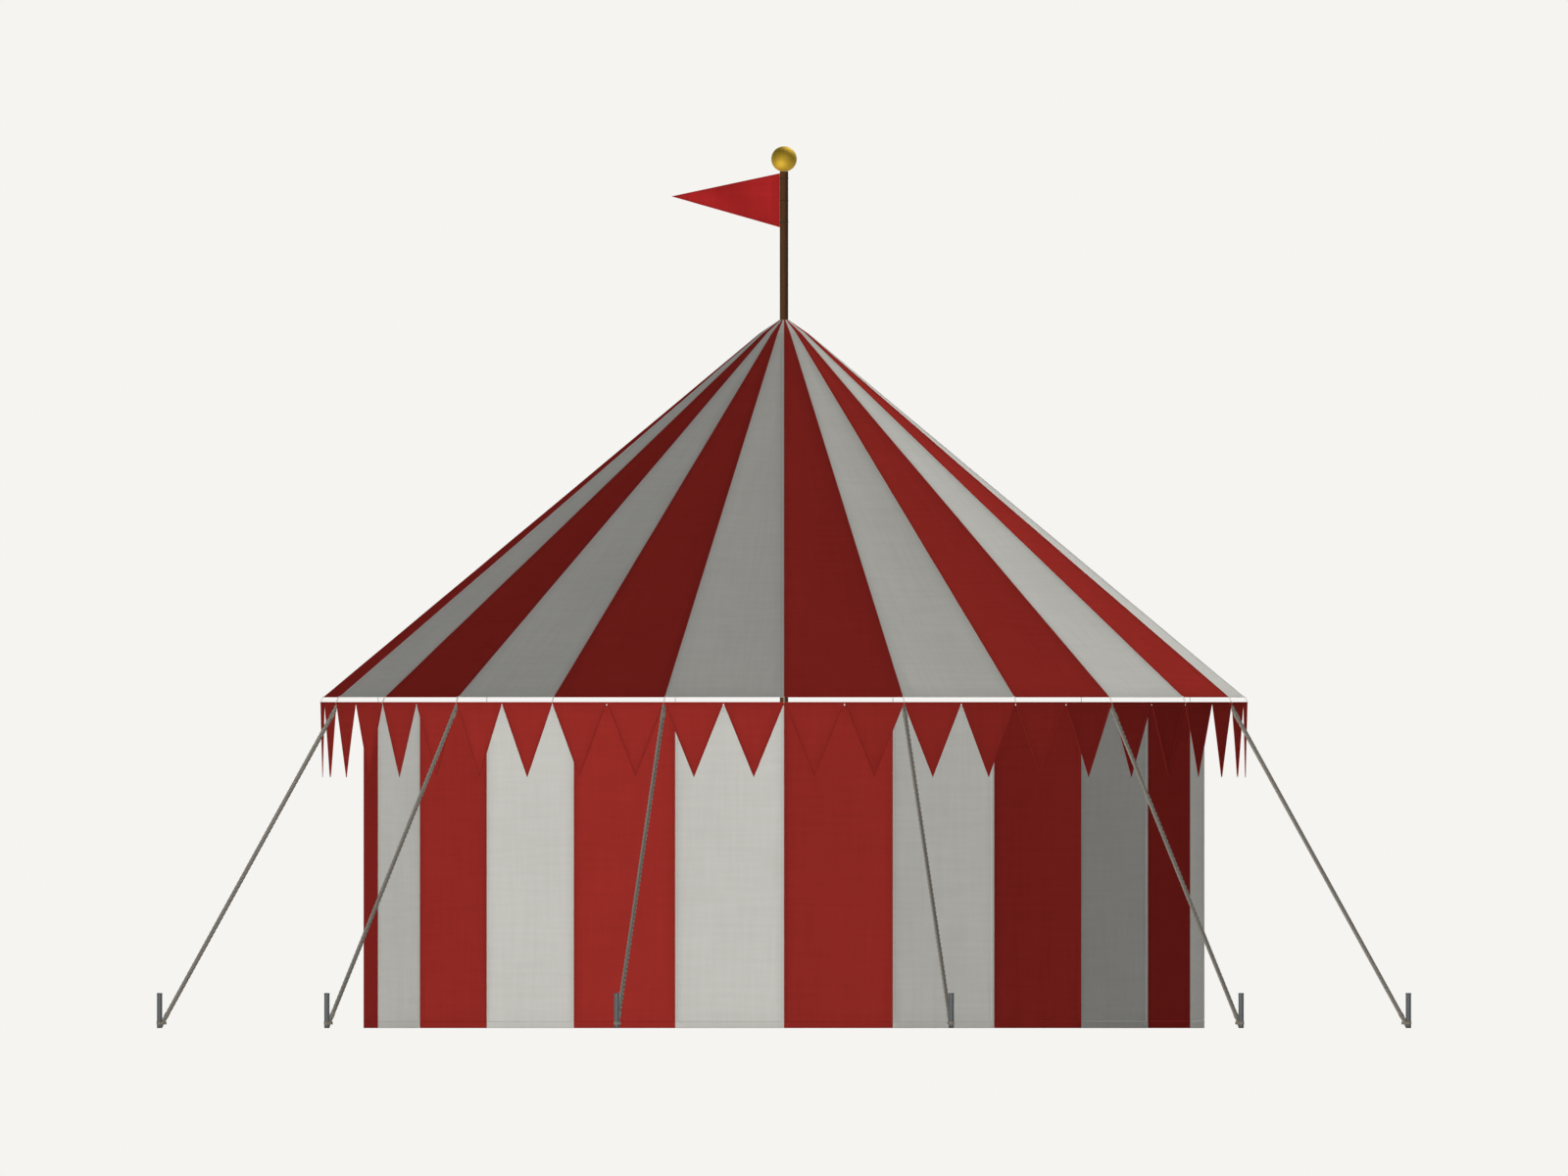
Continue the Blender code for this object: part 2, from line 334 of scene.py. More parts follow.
# %% [markdown]
# Woven cloth.
#
# Tent canvas is plain-weave cotton duck of about 400 g/m2. The weave follows each stripe, so it reads the
# piece's own map, laid out in metres: one wave runs along the stripe and one across, for warp and weft, and
# their difference is high where one lies over the other. Real threads are 0.6 mm apart; they are drawn at
# 2.4 mm, and the thick places in the yarns at about 15 by 200 mm, so that a close and a far view each have
# something to show.

# %% Weave and yarns
THREAD = 0.0024             # drawn four times too coarse
SLUB_WIDTH = 0.015
SLUB_LENGTH = 0.20
BAND_PERIOD = math.pi / 10  # of Blender's wave texture at scale 1


def plain_weave(tree, cloth, thread):
    """Warp and weft, each under the other by turns."""
    scale = BAND_PERIOD / (2 * thread)
    warp, weft = [
        add_node(tree, "TexWave", {"Vector": cloth, "Scale": scale}, bands_direction=axis).outputs["Fac"]
        for axis in "XY"
    ]
    crossing = add_node(tree, "Math", {0: warp, 1: weft}, operation="SUBTRACT")
    return add_node(tree, "Math", {0: crossing}, operation="ABSOLUTE")


def thick_yarns(tree, cloth):
    """Thick places in warp and weft, as two noises that add up to about 1, a spot to every second width."""
    slubs = [
        streaks(tree, cloth, (0.5 / width, 0.5 / height, 1), 2.0, noise_dimensions="2D")
        for width, height in ((SLUB_WIDTH, SLUB_LENGTH), (SLUB_LENGTH, SLUB_WIDTH))
    ]
    return add_node(tree, "Math", {0: slubs[0], 1: slubs[1]}, operation="ADD")


print(f"{1 / THREAD:.0f} threads and {0.5 / SLUB_WIDTH:.0f} thick places to a metre")

# %% [markdown]
# Wear and stitches.
#
# Cloth is doubled and handled along its seams, where it turns a little darker, and soft clouds of weathering
# lie over all of it. Each sewn band carries two rows of stitches. The band has a map of its own, which gives
# the way in from its nearer edge and the way along it: a stitch lies where the first is that of its row and
# the second isn't in a gap.

# %% Wear and stitches
SOILING = 0.08              # how much darker cloth is beside a seam
CLOUDS = 2.2                # patches of weathering to a metre
CLOUD_NOISE = (0.3, 0.7)    # from the darkest to the palest patch
CLOUD_LIGHT = (0.97, 1.0)   # the share of their light that these two send back
STITCH = 0.009              # one stitch and its gap; really 4 mm
STITCH_GAP = 0.25           # the gap's share of that
STITCH_THREAD = 0.0012
STITCH_ROW = 0.003          # from the edge of a sewn band to its row of stitches


def share_of_light(tree, cloth):
    """The share of its light that cloth still sends back, worn along the seams and weathered in clouds."""
    wear = add_node(tree, "Attribute", attribute_name="wear").outputs["Fac"]
    soiled = add_node(tree, "Math", {0: wear, 1: -SOILING, 2: 1.0}, operation="MULTIPLY_ADD")
    clouds = add_node(tree, "TexNoise", {
        "Vector": cloth,
        "Scale": CLOUDS,
        "Detail": 4.0,
    }, noise_dimensions="2D")
    clouded = add_node(tree, "MapRange", {
        "Value": clouds,
        **ends("From", CLOUD_NOISE),
        **ends("To", CLOUD_LIGHT),
    })
    return add_node(tree, "Math", {0: soiled, 1: clouded}, operation="MULTIPLY")


def stitches_on_bands(tree):
    """1 on a stitch and 0 beside it."""
    sewing = add_node(tree, "UVMap", uv_map="sewing")
    parts = add_node(tree, "SeparateXYZ", {0: sewing}).outputs
    row = add_node(tree, "Math", {0: parts["X"], 1: STITCH_ROW, 2: STITCH_THREAD / 2}, operation="COMPARE")
    step = add_node(tree, "Math", {0: parts["Y"], 1: STITCH / 2}, operation="PINGPONG")
    dash = add_node(tree, "Math", {0: step, 1: STITCH * STITCH_GAP / 2}, operation="GREATER_THAN")
    return add_node(tree, "Math", {0: row, 1: dash}, operation="MULTIPLY")


print(f"{1 / STITCH:.0f} stitches to a metre, {1000 * STITCH_ROW:.0f} mm from the edge of a band")

# %% [markdown]
# The cloth's finish.
#
# Here the parts come together. Thick yarns lie between two close tones, wear darkens them, and the stitches
# have a colour of their own. Threads, yarns and stitches are raised by their heights. Canvas is matt, so its
# shader mirrors nothing, and it is a little rougher where the yarn is thick. The same finish in finer yarn
# serves for the pennon's wool bunting.

# %% Cloth finish
YARN_TONES = (0.55, 1.45)   # of the yarns' noise, for the deep tone and for the pale one
YARN_RUBBED = (0.6, 1.4)    # of the same noise, for the smoothest yarn and for the roughest
ROUGHNESS_SPREAD = 0.06
WEAVE_RELIEF = 0.125        # height of the weave, as a share of the thread's width
YARN_RELIEF = 0.1           # height of the thick yarns, likewise
STITCH_RELIEF = 0.5         # height of a stitch, as a share of its own thread's width


def cloth_finish(name, deep, pale, stitches, thread, roughness):
    """Plain weave between two tones, with rows of stitches on its sewn bands."""
    finish, tree = new_finish(name)
    cloth = add_node(tree, "UVMap", uv_map="cloth")
    yarn = thick_yarns(tree, cloth)
    tone = add_node(tree, "MapRange", {"Value": yarn, **ends("From", YARN_TONES)})
    colour = add_node(tree, "Mix", {"Factor": tone, "A": linear(deep), "B": linear(pale)}, data_type="RGBA")
    share = share_of_light(tree, cloth)
    shaded = add_node(tree, "VectorMath", {0: colour, "Scale": share}, operation="SCALE")
    stitch = stitches_on_bands(tree)
    sewn = add_node(tree, "Mix", {"Factor": stitch, "A": shaded, "B": linear(stitches)}, data_type="RGBA")
    weave = plain_weave(tree, cloth, thread)
    relief = add_node(tree, "Math", {0: weave, 1: thread * WEAVE_RELIEF}, operation="MULTIPLY")
    for raised, height in ((yarn, thread * YARN_RELIEF), (stitch, STITCH_THREAD * STITCH_RELIEF)):
        relief = add_node(tree, "Math", {0: raised, 1: height, 2: relief}, operation="MULTIPLY_ADD")
    rough = add_node(tree, "MapRange", {
        "Value": yarn,
        **ends("From", YARN_RUBBED),
        **ends("To", (roughness - ROUGHNESS_SPREAD, roughness + ROUGHNESS_SPREAD)),
    })
    surface(tree, sewn, rough, relief, 1.0, {"Specular IOR Level": 0.0})
    return finish


red_duck = cloth_finish("madder red cotton duck", "AD342D", "B63731", "8E2A22", THREAD, 0.9)
white_duck = cloth_finish("undyed cotton duck", "E5E4DC", "ECEBE4", "B9B2A2", THREAD, 0.9)
print("cloth finishes:", red_duck.name, "/", white_duck.name)

# %% [markdown]
# From bmesh to piece.
#
# Each shape is worked in a bmesh and then handed over as an object: smooth but for real edges, with its
# finishes, and riding the tent's one body.

# %% Making pieces
def make_piece(name, bm, finishes, crease=30):
    """Turn a finished bmesh into a piece that rides with the tent.

    Open edges are marked sharp, so that they stay crisp when the cloth gets its thickness.
    """
    bm.edges.index_update()
    open_edges = [edge.index for edge in bm.edges if edge.is_boundary]
    mesh = bpy.data.meshes.new(name)
    bm.to_mesh(mesh)
    bm.free()
    for finish in finishes:
        mesh.materials.append(finish)
    mesh.shade_smooth()
    mesh.set_sharp_from_angle(angle=math.radians(crease))
    for index in open_edges:
        mesh.edges[index].use_edge_sharp = True
    piece = bpy.data.objects.new(name, mesh)
    bpy.context.collection.objects.link(piece)
    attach(piece, "root")
    print(f"{name}: {len(mesh.polygons)} faces")
    return piece


def thicken(piece, thickness, offset=-1):
    """Give a sheet its thickness, inwards from its outer side, or to both sides with an offset of 0."""
    layer = piece.modifiers.new("cloth thickness", "SOLIDIFY")
    layer.thickness = thickness
    layer.offset = offset


print("ready: pieces, and thickness for sheets")

# %% [markdown]
# Rings round the pole.
#
# Roof, wall and valance are all rings of flat panels. They could be cones and cylinders, but a line of a few
# points that is spun round the pole gives any outline, with one step of the spin to a panel. Sewing, colour
# and sag all depend on where in its panel a point lies, so two helpers tell how its panel faces and how far
# the point is to one side of the middle.

# %% Ring helpers
def spun(profile, steps):
    """A line of (radius, height) points spun once round the pole."""
    bm = bmesh.new()
    line = [bm.verts.new(outward(0) * radius + lift(height)) for radius, height in profile]
    for one, other in zip(line, line[1:]):
        bm.edges.new((one, other))
    bmesh.ops.spin(
        bm,
        geom=bm.verts[:] + bm.edges[:],
        axis=(0, 0, 1),
        cent=(0, 0, 0),
        angle=math.tau,
        steps=steps,
        use_merge=True,
    )
    bmesh.ops.remove_doubles(bm, verts=bm.verts, dist=TOUCHING)
    return bm


def face_outwards(bm):
    """Turn every face of an open ring away from the pole."""
    level = Vector((1, 1, 0))
    inward = [face for face in bm.faces if face.normal.dot(face.calc_center_median() * level) < 0]
    bmesh.ops.reverse_faces(bm, faces=inward)


def middle_bearing(point, turn):
    """Bearing of the middle of the stripe or dag that a point lies in."""
    bearing = math.atan2(point.x, -point.y) % math.tau
    return (math.floor(bearing / turn) + 0.5) * turn


def across_panel(point, bearing):
    """How far a point lies to the side of the middle of its panel."""
    return point.dot(sideways(bearing))


print(f"the first stripe faces {math.degrees(middle_bearing(outward(0.1), STRIPE_TURN)):.1f} degrees")

# %% [markdown]
# Sewing the panels.
#
# On the real tent two stripes meet in a felled seam, folded together and stitched flat, so it stands up from
# the cloth by a few layers. An inset draws that band round each panel, a cut along its middle leaves a row of
# stitches to either side, a second inset steps down off it, and cuts along and across give the cloth points
# to sag with.

# %% Sewing helpers
SEAM = 0.016                # the half of a seam's band that lies on one stripe
SEAM_STEP = 0.0012          # how far a doubled band stands up from the cloth
PANEL_AREA = 0.1            # every whole stripe is larger, and every hem or crown face is smaller
CLOTH = 0.002


def middle_of(edge):
    """The point halfway along an edge."""
    return (edge.verts[0].co + edge.verts[1].co) / 2


def rise_of(edge):
    """How much higher one end of an edge lies than the other."""
    return abs(edge.verts[0].co.z - edge.verts[1].co.z)


def whole_stripes(bm):
    """The faces that are a whole stripe, and not a hem or the crown."""
    return [face for face in bm.faces if face.calc_area() > PANEL_AREA]


def sew_panels(bm, panels, band):
    """Raise a band round each panel: one inset, cut along its middle, and another for the step."""
    rim = set(bm.verts)
    bmesh.ops.inset_individual(bm, faces=panels, thickness=band, use_even_offset=True)
    mitres = [edge for edge in bm.edges if (edge.verts[0] in rim) != (edge.verts[1] in rim)]
    bmesh.ops.subdivide_edges(bm, edges=mitres, cuts=1, use_grid_fill=True)
    bmesh.ops.inset_individual(
        bm,
        faces=panels,
        thickness=SEAM_STEP,
        depth=-SEAM_STEP,
        use_even_offset=True,
    )


def cut_panels(bm, turn, rows, columns, least_rise):
    """Cut edges that rise by more than least_rise into rows, and level ones across a panel into columns."""
    upright = [edge for edge in bm.edges if rise_of(edge) > least_rise]
    bmesh.ops.subdivide_edges(bm, edges=upright, cuts=rows - 1, use_grid_fill=True)
    crossing = []
    for edge in bm.edges:
        middle = middle_of(edge)
        off_middle = abs(across_panel(middle, middle_bearing(middle, turn)))
        if rise_of(edge) < TOUCHING / 10 and off_middle < TOUCHING:
            crossing.append(edge)
    bmesh.ops.subdivide_edges(bm, edges=crossing, cuts=columns - 1, use_grid_fill=True)


def colour_stripes(bm):
    """Give the stripes their two cloths turn about."""
    for face in bm.faces:
        stripe = int(middle_bearing(face.calc_center_median(), STRIPE_TURN) / STRIPE_TURN)
        face.material_index = stripe % 2


print(f"a seam takes {1000 * SEAM:.0f} mm of a stripe and stands {1000 * SEAM_STEP:.1f} mm high")

# %% [markdown]
# Maps for the cloth.
#
# The finish has to know where on the cloth it is. One map holds each panel laid out flat, in metres, and
# shifted from its neighbour's, so that no two stripes show the same yarns. A second one runs in from the
# edge of each sewn band and along it, for the stitches. The wear is one number at each vertex.

# %% Panel maps
PATTERN_SHIFT = 1.7         # of the map from one panel to the next
WEAR_REACH = 0.05           # how far the darker tone spreads from a seam


def cloth_layers(bm):
    """The two maps and the wear that the cloth finish reads."""
    maps = [bm.loops.layers.uv.new(name) for name in ("cloth", "sewing")]
    return (*maps, bm.verts.layers.float.new("wear"))


def wear_at(inside, band):
    """The wear at a distance inside a panel's edge: 1 on the sewn band, and fading further in."""
    return max(0.0, min(1.0, 1 - (inside - band) / WEAR_REACH))


def map_panels(bm, turn, along, half_width, length, seam, hem):
    """Lay out each panel flat, and give its bands their own map for the stitches.

    along(point, bearing) is how far up or down its panel a point lies, half_width(along) is half the
    panel's width there, and seam and hem are the widths of the bands at its sides and its ends.
    """
    cloth, sewing, wear = cloth_layers(bm)
    for face in bm.faces:
        centre = face.calc_center_median()
        bearing = middle_bearing(centre, turn)
        shift = bearing / turn * PATTERN_SHIFT
        up = along(centre, bearing)
        from_seam = half_width(up) - abs(across_panel(centre, bearing))
        from_hem = min(up, length - up)
        on_seam = from_seam < seam and from_seam / seam < from_hem / hem
        on_hem = not on_seam and from_hem < hem
        for loop in face.loops:
            u = across_panel(loop.vert.co, bearing)
            v = along(loop.vert.co, bearing)
            loop[cloth].uv = (u + shift, v)
            if on_seam:
                inside = half_width(v) - abs(u)
                loop[sewing].uv = (min(inside, seam - inside), v)
            elif on_hem:
                inside = min(v, length - v)
                loop[sewing].uv = (min(inside, hem - inside), u)
            else:
                loop[sewing].uv = (hem, v)
    for vert in bm.verts:
        bearing = middle_bearing(vert.co, turn)
        v = along(vert.co, bearing)
        inside = min(half_width(v) - abs(across_panel(vert.co, bearing)), v, length - v)
        vert[wear] = wear_at(inside, seam)


print(f"wear reaches {1000 * WEAR_REACH:.0f} mm in from a sewn band")

# %% [markdown]
# The roof's gores.
#
# The roof is one sheet of twenty-four gores, sewn to each other, stretched from the pole's collar to the
# eave. A gore is a long trapezium that leans in, and a much shorter, flatter one goes on from it to the
# collar. Its length and its widths follow from the sizes of the ring, and two functions tell where on its
# gore a point lies, and how wide the gore is there.

# %% Roof gores
middle_factor = math.cos(STRIPE_TURN / 2)
eave_half = EAVE_RADIUS * math.sin(STRIPE_TURN / 2)
crown_half = CROWN_RADIUS * math.sin(STRIPE_TURN / 2)
gore_run = (EAVE_RADIUS - CROWN_RADIUS) * middle_factor
gore_rise = CROWN_HEIGHT - EAVE_HEIGHT
gore_length = math.hypot(gore_run, gore_rise)
crown_length = math.hypot((CROWN_RADIUS - COLLAR_RADIUS) * middle_factor, COLLAR_HEIGHT - CROWN_HEIGHT)


def gore_along(point, bearing):
    """Length up the middle of a gore from the eave."""
    inwards = EAVE_RADIUS * middle_factor - point.dot(outward(bearing))
    return math.copysign(math.hypot(inwards, point.z - EAVE_HEIGHT), inwards)


def gore_half(along):
    """Half the width of a gore, on the slope and above it on the crown."""
    if along < gore_length:
        return eave_half + (crown_half - eave_half) * along / gore_length
    share = min(1.0, (along - gore_length) / crown_length)
    return crown_half + (COLLAR_RADIUS * math.sin(STRIPE_TURN / 2) - crown_half) * share


# %% [markdown]
# The roof canopy.
#
# Canvas under tension is straight along its seams and dips a little between them, so the seams stay where the
# frame has them and the cloth between sinks by a few millimetres, least at the hem and the crown. A slow,
# faint noise adds the unevenness that hand-sewn cloth never loses. Red cloth would throw a pink tint on the
# white stripes below it; here roof and valance throw none, so each stripe keeps its own clean colour.

# %% Roof canopy
ROOF_ROWS = 32
ROOF_COLUMNS = 10
ROOF_SAG = 0.009
SAG_SHIFT = 0.6             # a power; below 1, the cloth sags most below the middle of its length
ROOF_UNEVEN = 0.0014
UNEVEN_SPOTS = 2.6          # to a metre

bm = spun([(COLLAR_RADIUS, COLLAR_HEIGHT), (CROWN_RADIUS, CROWN_HEIGHT), (EAVE_RADIUS, EAVE_HEIGHT)], STRIPES)
face_outwards(bm)
sew_panels(bm, whole_stripes(bm), SEAM)
cut_panels(bm, STRIPE_TURN, ROOF_ROWS, ROOF_COLUMNS, gore_rise / 2)
map_panels(bm, STRIPE_TURN, gore_along, gore_half, gore_length, SEAM, SEAM)
colour_stripes(bm)
for vert in bm.verts:
    bearing = middle_bearing(vert.co, STRIPE_TURN)
    along = gore_along(vert.co, bearing)
    share = max(0.0, min(1.0, along / gore_length))
    across = across_panel(vert.co, bearing) / gore_half(along)
    slack = math.sin(math.pi * share ** SAG_SHIFT)
    unevenness = ROOF_UNEVEN * noise.noise(vert.co * UNEVEN_SPOTS)
    dip = slack * (ROOF_SAG * max(0.0, 1 - across ** 2) + unevenness)
    slope = outward(bearing) * gore_rise + lift(gore_run)
    vert.co -= slope.normalized() * dip

canopy = make_piece("roof_canopy", bm, (red_duck, white_duck))
thicken(canopy, CLOTH)
canopy.visible_diffuse = False
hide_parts(*[f"roof_section_{n:02d}" for n in range(1, 13)])
print(f"roof sags by about {1000 * ROOF_SAG:.0f} mm between its seams")

# %% [markdown]
# The wall.
#
# The wall is a ring of twenty-four upright panels that hangs from the roof and just meets the ground. It is
# sewn like the roof, with a wider hem at its foot and at its head. Hung cloth is never quite flat: each panel
# leans in a few millimetres between its seams, by an amount of its own, and soft folds grow towards the foot.
# They stay very shallow, because in the picture every stripe reads as one clean facet.

# %% Wall
HEM = 0.040
WALL_ROWS = 22
WALL_COLUMNS = 14
WALL_LEAN = (0.002, 0.006)  # least and most that a panel leans in
LEAN_SPAN = (0.15, 0.85)    # the part of half a wave that the lean follows from head to foot
FOLD_DEPTH = 0.0010
FOLD_WIDTH = (0.13, 0.24)   # least and most from one fold to the next

wall_half = WALL_RADIUS * math.sin(STRIPE_TURN / 2)


def wall_along(point, bearing):
    """Height above the ground."""
    return point.z


def wall_width(along):
    """Half the width of a panel, the same at every height."""
    return wall_half


hem_heights = (0, HEM - SEAM, WALL_HEIGHT - HEM + SEAM, WALL_HEIGHT)
bm = spun([(WALL_RADIUS, height) for height in hem_heights], STRIPES)
face_outwards(bm)
sew_panels(bm, whole_stripes(bm), SEAM)
cut_panels(bm, STRIPE_TURN, WALL_ROWS, WALL_COLUMNS, WALL_HEIGHT / 2)
map_panels(bm, STRIPE_TURN, wall_along, wall_width, WALL_HEIGHT, SEAM, HEM)
colour_stripes(bm)

draws = random.Random(12)
hang = [
    (draws.uniform(*WALL_LEAN), draws.uniform(*FOLD_WIDTH), draws.uniform(0, math.tau))
    for _ in range(STRIPES)
]
for vert in bm.verts:
    bearing = middle_bearing(vert.co, STRIPE_TURN)
    lean, fold_width, phase = hang[int(bearing / STRIPE_TURN)]
    across = across_panel(vert.co, bearing)
    free = max(0.0, 1 - (across / wall_half) ** 2)
    loose = 1 - vert.co.z / WALL_HEIGHT
    fold = FOLD_DEPTH * loose * math.sin(across * math.tau / fold_width + phase)
    reached = LEAN_SPAN[0] + (LEAN_SPAN[1] - LEAN_SPAN[0]) * loose
    vert.co -= outward(bearing) * free * (lean * math.sin(math.pi * reached) + fold)

wall = make_piece("wall", bm, (red_duck, white_duck))
thicken(wall, CLOTH)
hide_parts(*[f"wall_section_{n:02d}" for n in range(1, 13)])
print(f"wall panel {2 * wall_half:.3f} by {WALL_HEIGHT:.3f} m")

# %% [markdown]
# The valance.
#
# The ring of pointed dags is one strip of red canvas: a narrow head tape with forty-eight triangles below it.
# The tape is spun round the pole, its lower edges are drawn down and each is merged to a point, which gives
# triangles that meet the tape along its whole length. Each dag then gets the same sewn band as a stripe. Real
# dags are light, so each swings and twists a few millimetres, by an amount of its own.

# %% Valance
DAG_HEM = 0.010
DAG_CUTS = 5
DAG_SWING = 0.004           # most that a tip stands in or out
DAG_TURN = math.tau / DAGS

dag_half = VALANCE_RADIUS * math.sin(DAG_TURN / 2)
tape_bottom = VALANCE_TOP - HEAD_TAPE
dag_length = tape_bottom - VALANCE_TIP


def dag_along(point, bearing):
    """Length down from the tape's lower edge, and less than nothing on the tape."""
    return tape_bottom - point.z


def dag_width(along):
    """Half the width of a dag, which narrows to its point."""
    return dag_half * min(1.0, 1 - along / dag_length)


bm = spun([(VALANCE_RADIUS, VALANCE_TOP), (VALANCE_RADIUS, tape_bottom)], DAGS)
face_outwards(bm)
for edge in [edge for edge in bm.edges if abs(middle_of(edge).z - tape_bottom) < TOUCHING]:
    middle = middle_of(edge)
    drawn = bmesh.ops.extrude_edge_only(bm, edges=[edge])["geom"]
    corners = [part for part in drawn if isinstance(part, bmesh.types.BMVert)]
    bmesh.ops.pointmerge(bm, verts=corners, merge_co=(middle.x, middle.y, VALANCE_TIP))
bm.normal_update()
face_outwards(bm)
dags = [face for face in bm.faces if len(face.verts) == 3]
sew_panels(bm, dags, DAG_HEM)
long_edges = [edge for edge in bm.edges if edge.calc_length() > dag_half]
bmesh.ops.subdivide_edges(bm, edges=long_edges, cuts=DAG_CUTS, use_grid_fill=True)
map_panels(bm, DAG_TURN, dag_along, dag_width, dag_length, DAG_HEM, DAG_HEM)

draws = random.Random(48)
swings = [(draws.uniform(-1, 1), draws.uniform(-1, 1)) for _ in range(DAGS)]
for vert in bm.verts:
    bearing = middle_bearing(vert.co, DAG_TURN)
    swing, twist = swings[int(bearing / DAG_TURN)]
    down = max(0.0, dag_along(vert.co, bearing) / dag_length)
    across = across_panel(vert.co, bearing) / dag_half
    vert.co += outward(bearing) * DAG_SWING * (swing * down ** 2 + twist * across * down)

valance = make_piece("valance_dags", bm, (red_duck,))
thicken(valance, CLOTH)
valance.visible_diffuse = False
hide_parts("valance")
print(f"{DAGS} dags, each {2 * dag_half:.3f} m wide and {dag_length:.3f} m long")

# %% [markdown]
# One made, many placed.
#
# Patches, ropes, whippings, lashings, loops and ties are needed many times over, and are all alike. Each
# could be a linked object or an array, but an exported piece has to be one mesh, at the origin. So each is
# made once, and placed copies of its finished mesh, maps and all, are gathered in one bmesh.

# %% Placing copies
def add_copy(bm, source, place):
    """Add a placed copy of a finished mesh to a bmesh."""
    copy = source.copy()
    copy.transform(place)
    bm.from_mesh(copy)
    bpy.data.meshes.remove(copy)


def around_pole(bearing):
    """The turn that takes a piece made at the front to a bearing."""
    return Matrix.Rotation(bearing, 4, "Z")


print(f"guys from {math.degrees(guy_bearings[0]):.0f} degrees, and every {360 / GUYS:.0f} degrees from there")

# %% [markdown]
# Guy patches.
#
# A rope that pulls at the notch between two dags would tear it, so a small shield of the same canvas is sewn
# over each notch that takes a guy. It starts as a flat grid with sides of 1, whose foot is drawn in to a
# point, and it is bent over the corner of the valance.

# %% Guy patches
PATCH_WIDTH = 0.036
PATCH_DEPTH = 0.050
PATCH_POINT = 0.4           # share of the depth that narrows to the point
PATCH_STAND_OFF = 0.0008    # how far its middle stands out from the valance
PATCH_CUTS = 8

bm = bmesh.new()
bmesh.ops.create_grid(bm, x_segments=PATCH_CUTS, y_segments=PATCH_CUTS, size=0.5)
cloth_map, sewing_map = cloth_layers(bm)[:2]
for vert in bm.verts:
    taper = min(1.0, (vert.co.y + 0.5) / PATCH_POINT)
    across = vert.co.x * PATCH_WIDTH * taper
    out = VALANCE_RADIUS + PATCH_STAND_OFF - abs(across) * math.tan(DAG_TURN / 2)
    height = VALANCE_TOP + (vert.co.y - 0.5) * PATCH_DEPTH
    vert.co = outward(0) * out + sideways(0) * across + lift(height)
bmesh.ops.remove_doubles(bm, verts=bm.verts, dist=TOUCHING)
for face in bm.faces:
    for loop in face.loops:
        across = across_panel(loop.vert.co, 0)
        loop[cloth_map].uv = (across, loop.vert.co.z)
        loop[sewing_map].uv = (PATCH_WIDTH / 2 - abs(across), loop.vert.co.z)
face_outwards(bm)
one_patch = bpy.data.meshes.new("one patch")
bm.to_mesh(one_patch)
bm.clear()
for bearing in guy_bearings:
    add_copy(bm, one_patch, around_pole(bearing))
patches = make_piece("guy_patches", bm, (red_duck,))
thicken(patches, PATCH_STAND_OFF)
print(f"{GUYS} patches of {1000 * PATCH_WIDTH:.0f} by {1000 * PATCH_DEPTH:.0f} mm")

# %% [markdown]
# Rope finishes.
#
# A rope shows its fibres as fine streaks along it, over broader ones, in tones from pale straw to the grey of
# dirt and weather. They read a "lay" attribute, in which every point keeps the place that it had when the
# rope was still upright and straight, so that the fibres follow the rope wherever it goes. Hemp that has been
# out in the weather is dull and grey, and linen, cotton and tarred line differ from it in colour and yarn.

# %% Rope finishes
YARN = 0.0022               # one yarn across
FIBRE_LENGTH = 40           # in widths of a yarn
PATCHINESS = 0.3            # broad streaks across a rope, for one fine one
FIBRE_TONES = (0.7, 1.3)    # of both noises added up, for the deep tone and for the pale one
FIBRE_SPREAD = 0.1          # of the roughness, either way
FIBRE_RELIEF = 0.5          # height of the fine streaks, in widths of a yarn


def rope_finish(name, deep, pale, yarn, roughness):
    """Fibres that run along a rope, in two tones."""
    finish, tree = new_finish(name)
    lay = add_node(tree, "Attribute", attribute_name="lay").outputs["Vector"]
    fine, broad = [
        streaks(tree, lay, (across, across, along), 3.0)
        for across, along in ((1 / yarn, 1 / (FIBRE_LENGTH * yarn)), (PATCHINESS / yarn, 1.0))
    ]
    both = add_node(tree, "Math", {0: fine, 1: broad}, operation="ADD")
    tone = add_node(tree, "MapRange", {"Value": both, **ends("From", FIBRE_TONES)})
    colour = add_node(tree, "Mix", {"Factor": tone, "A": linear(deep), "B": linear(pale)}, data_type="RGBA")
    rough = add_node(tree, "MapRange", {
        "Value": fine,
        **ends("To", (roughness - FIBRE_SPREAD, roughness + FIBRE_SPREAD)),
    })
    surface(tree, colour, rough, fine, yarn * FIBRE_RELIEF, {"Specular IOR Level": 0.1})
    return finish


hemp = rope_finish("weathered hemp", "88847A", "ABA69B", YARN, 0.88)
twine = rope_finish("waxed linen twine", "837D71", "A29B8E", YARN / 3, 0.7)
cotton = rope_finish("bleached cotton cord", "DAD7CC", "F0EEE7", YARN / 3, 0.85)
tarred = rope_finish("tarred marline", "33251A", "4E3A28", YARN / 3, 0.65)
print("rope finishes:", ", ".join(finish.name for finish in (hemp, twine, cotton, tarred)))

# %% [markdown]
# Laying a rope.
#
# Hemp rope is three strands twisted round each other, with one full turn in about three and a half diameters.
# A spin that also moves along its axis is a screw, so spinning three discs makes the whole rope at once, with
# its ends closed. It is made upright at the origin, once for all the places that need it, because a long spin
# is the slowest step of the script.

# %% Laying a rope
TWIST_LENGTH = 3.4          # diameters of rope to one full turn
STRAND_SHARE = {2: 0.5, 3: 0.46}    # a strand's radius, as a share of its rope's


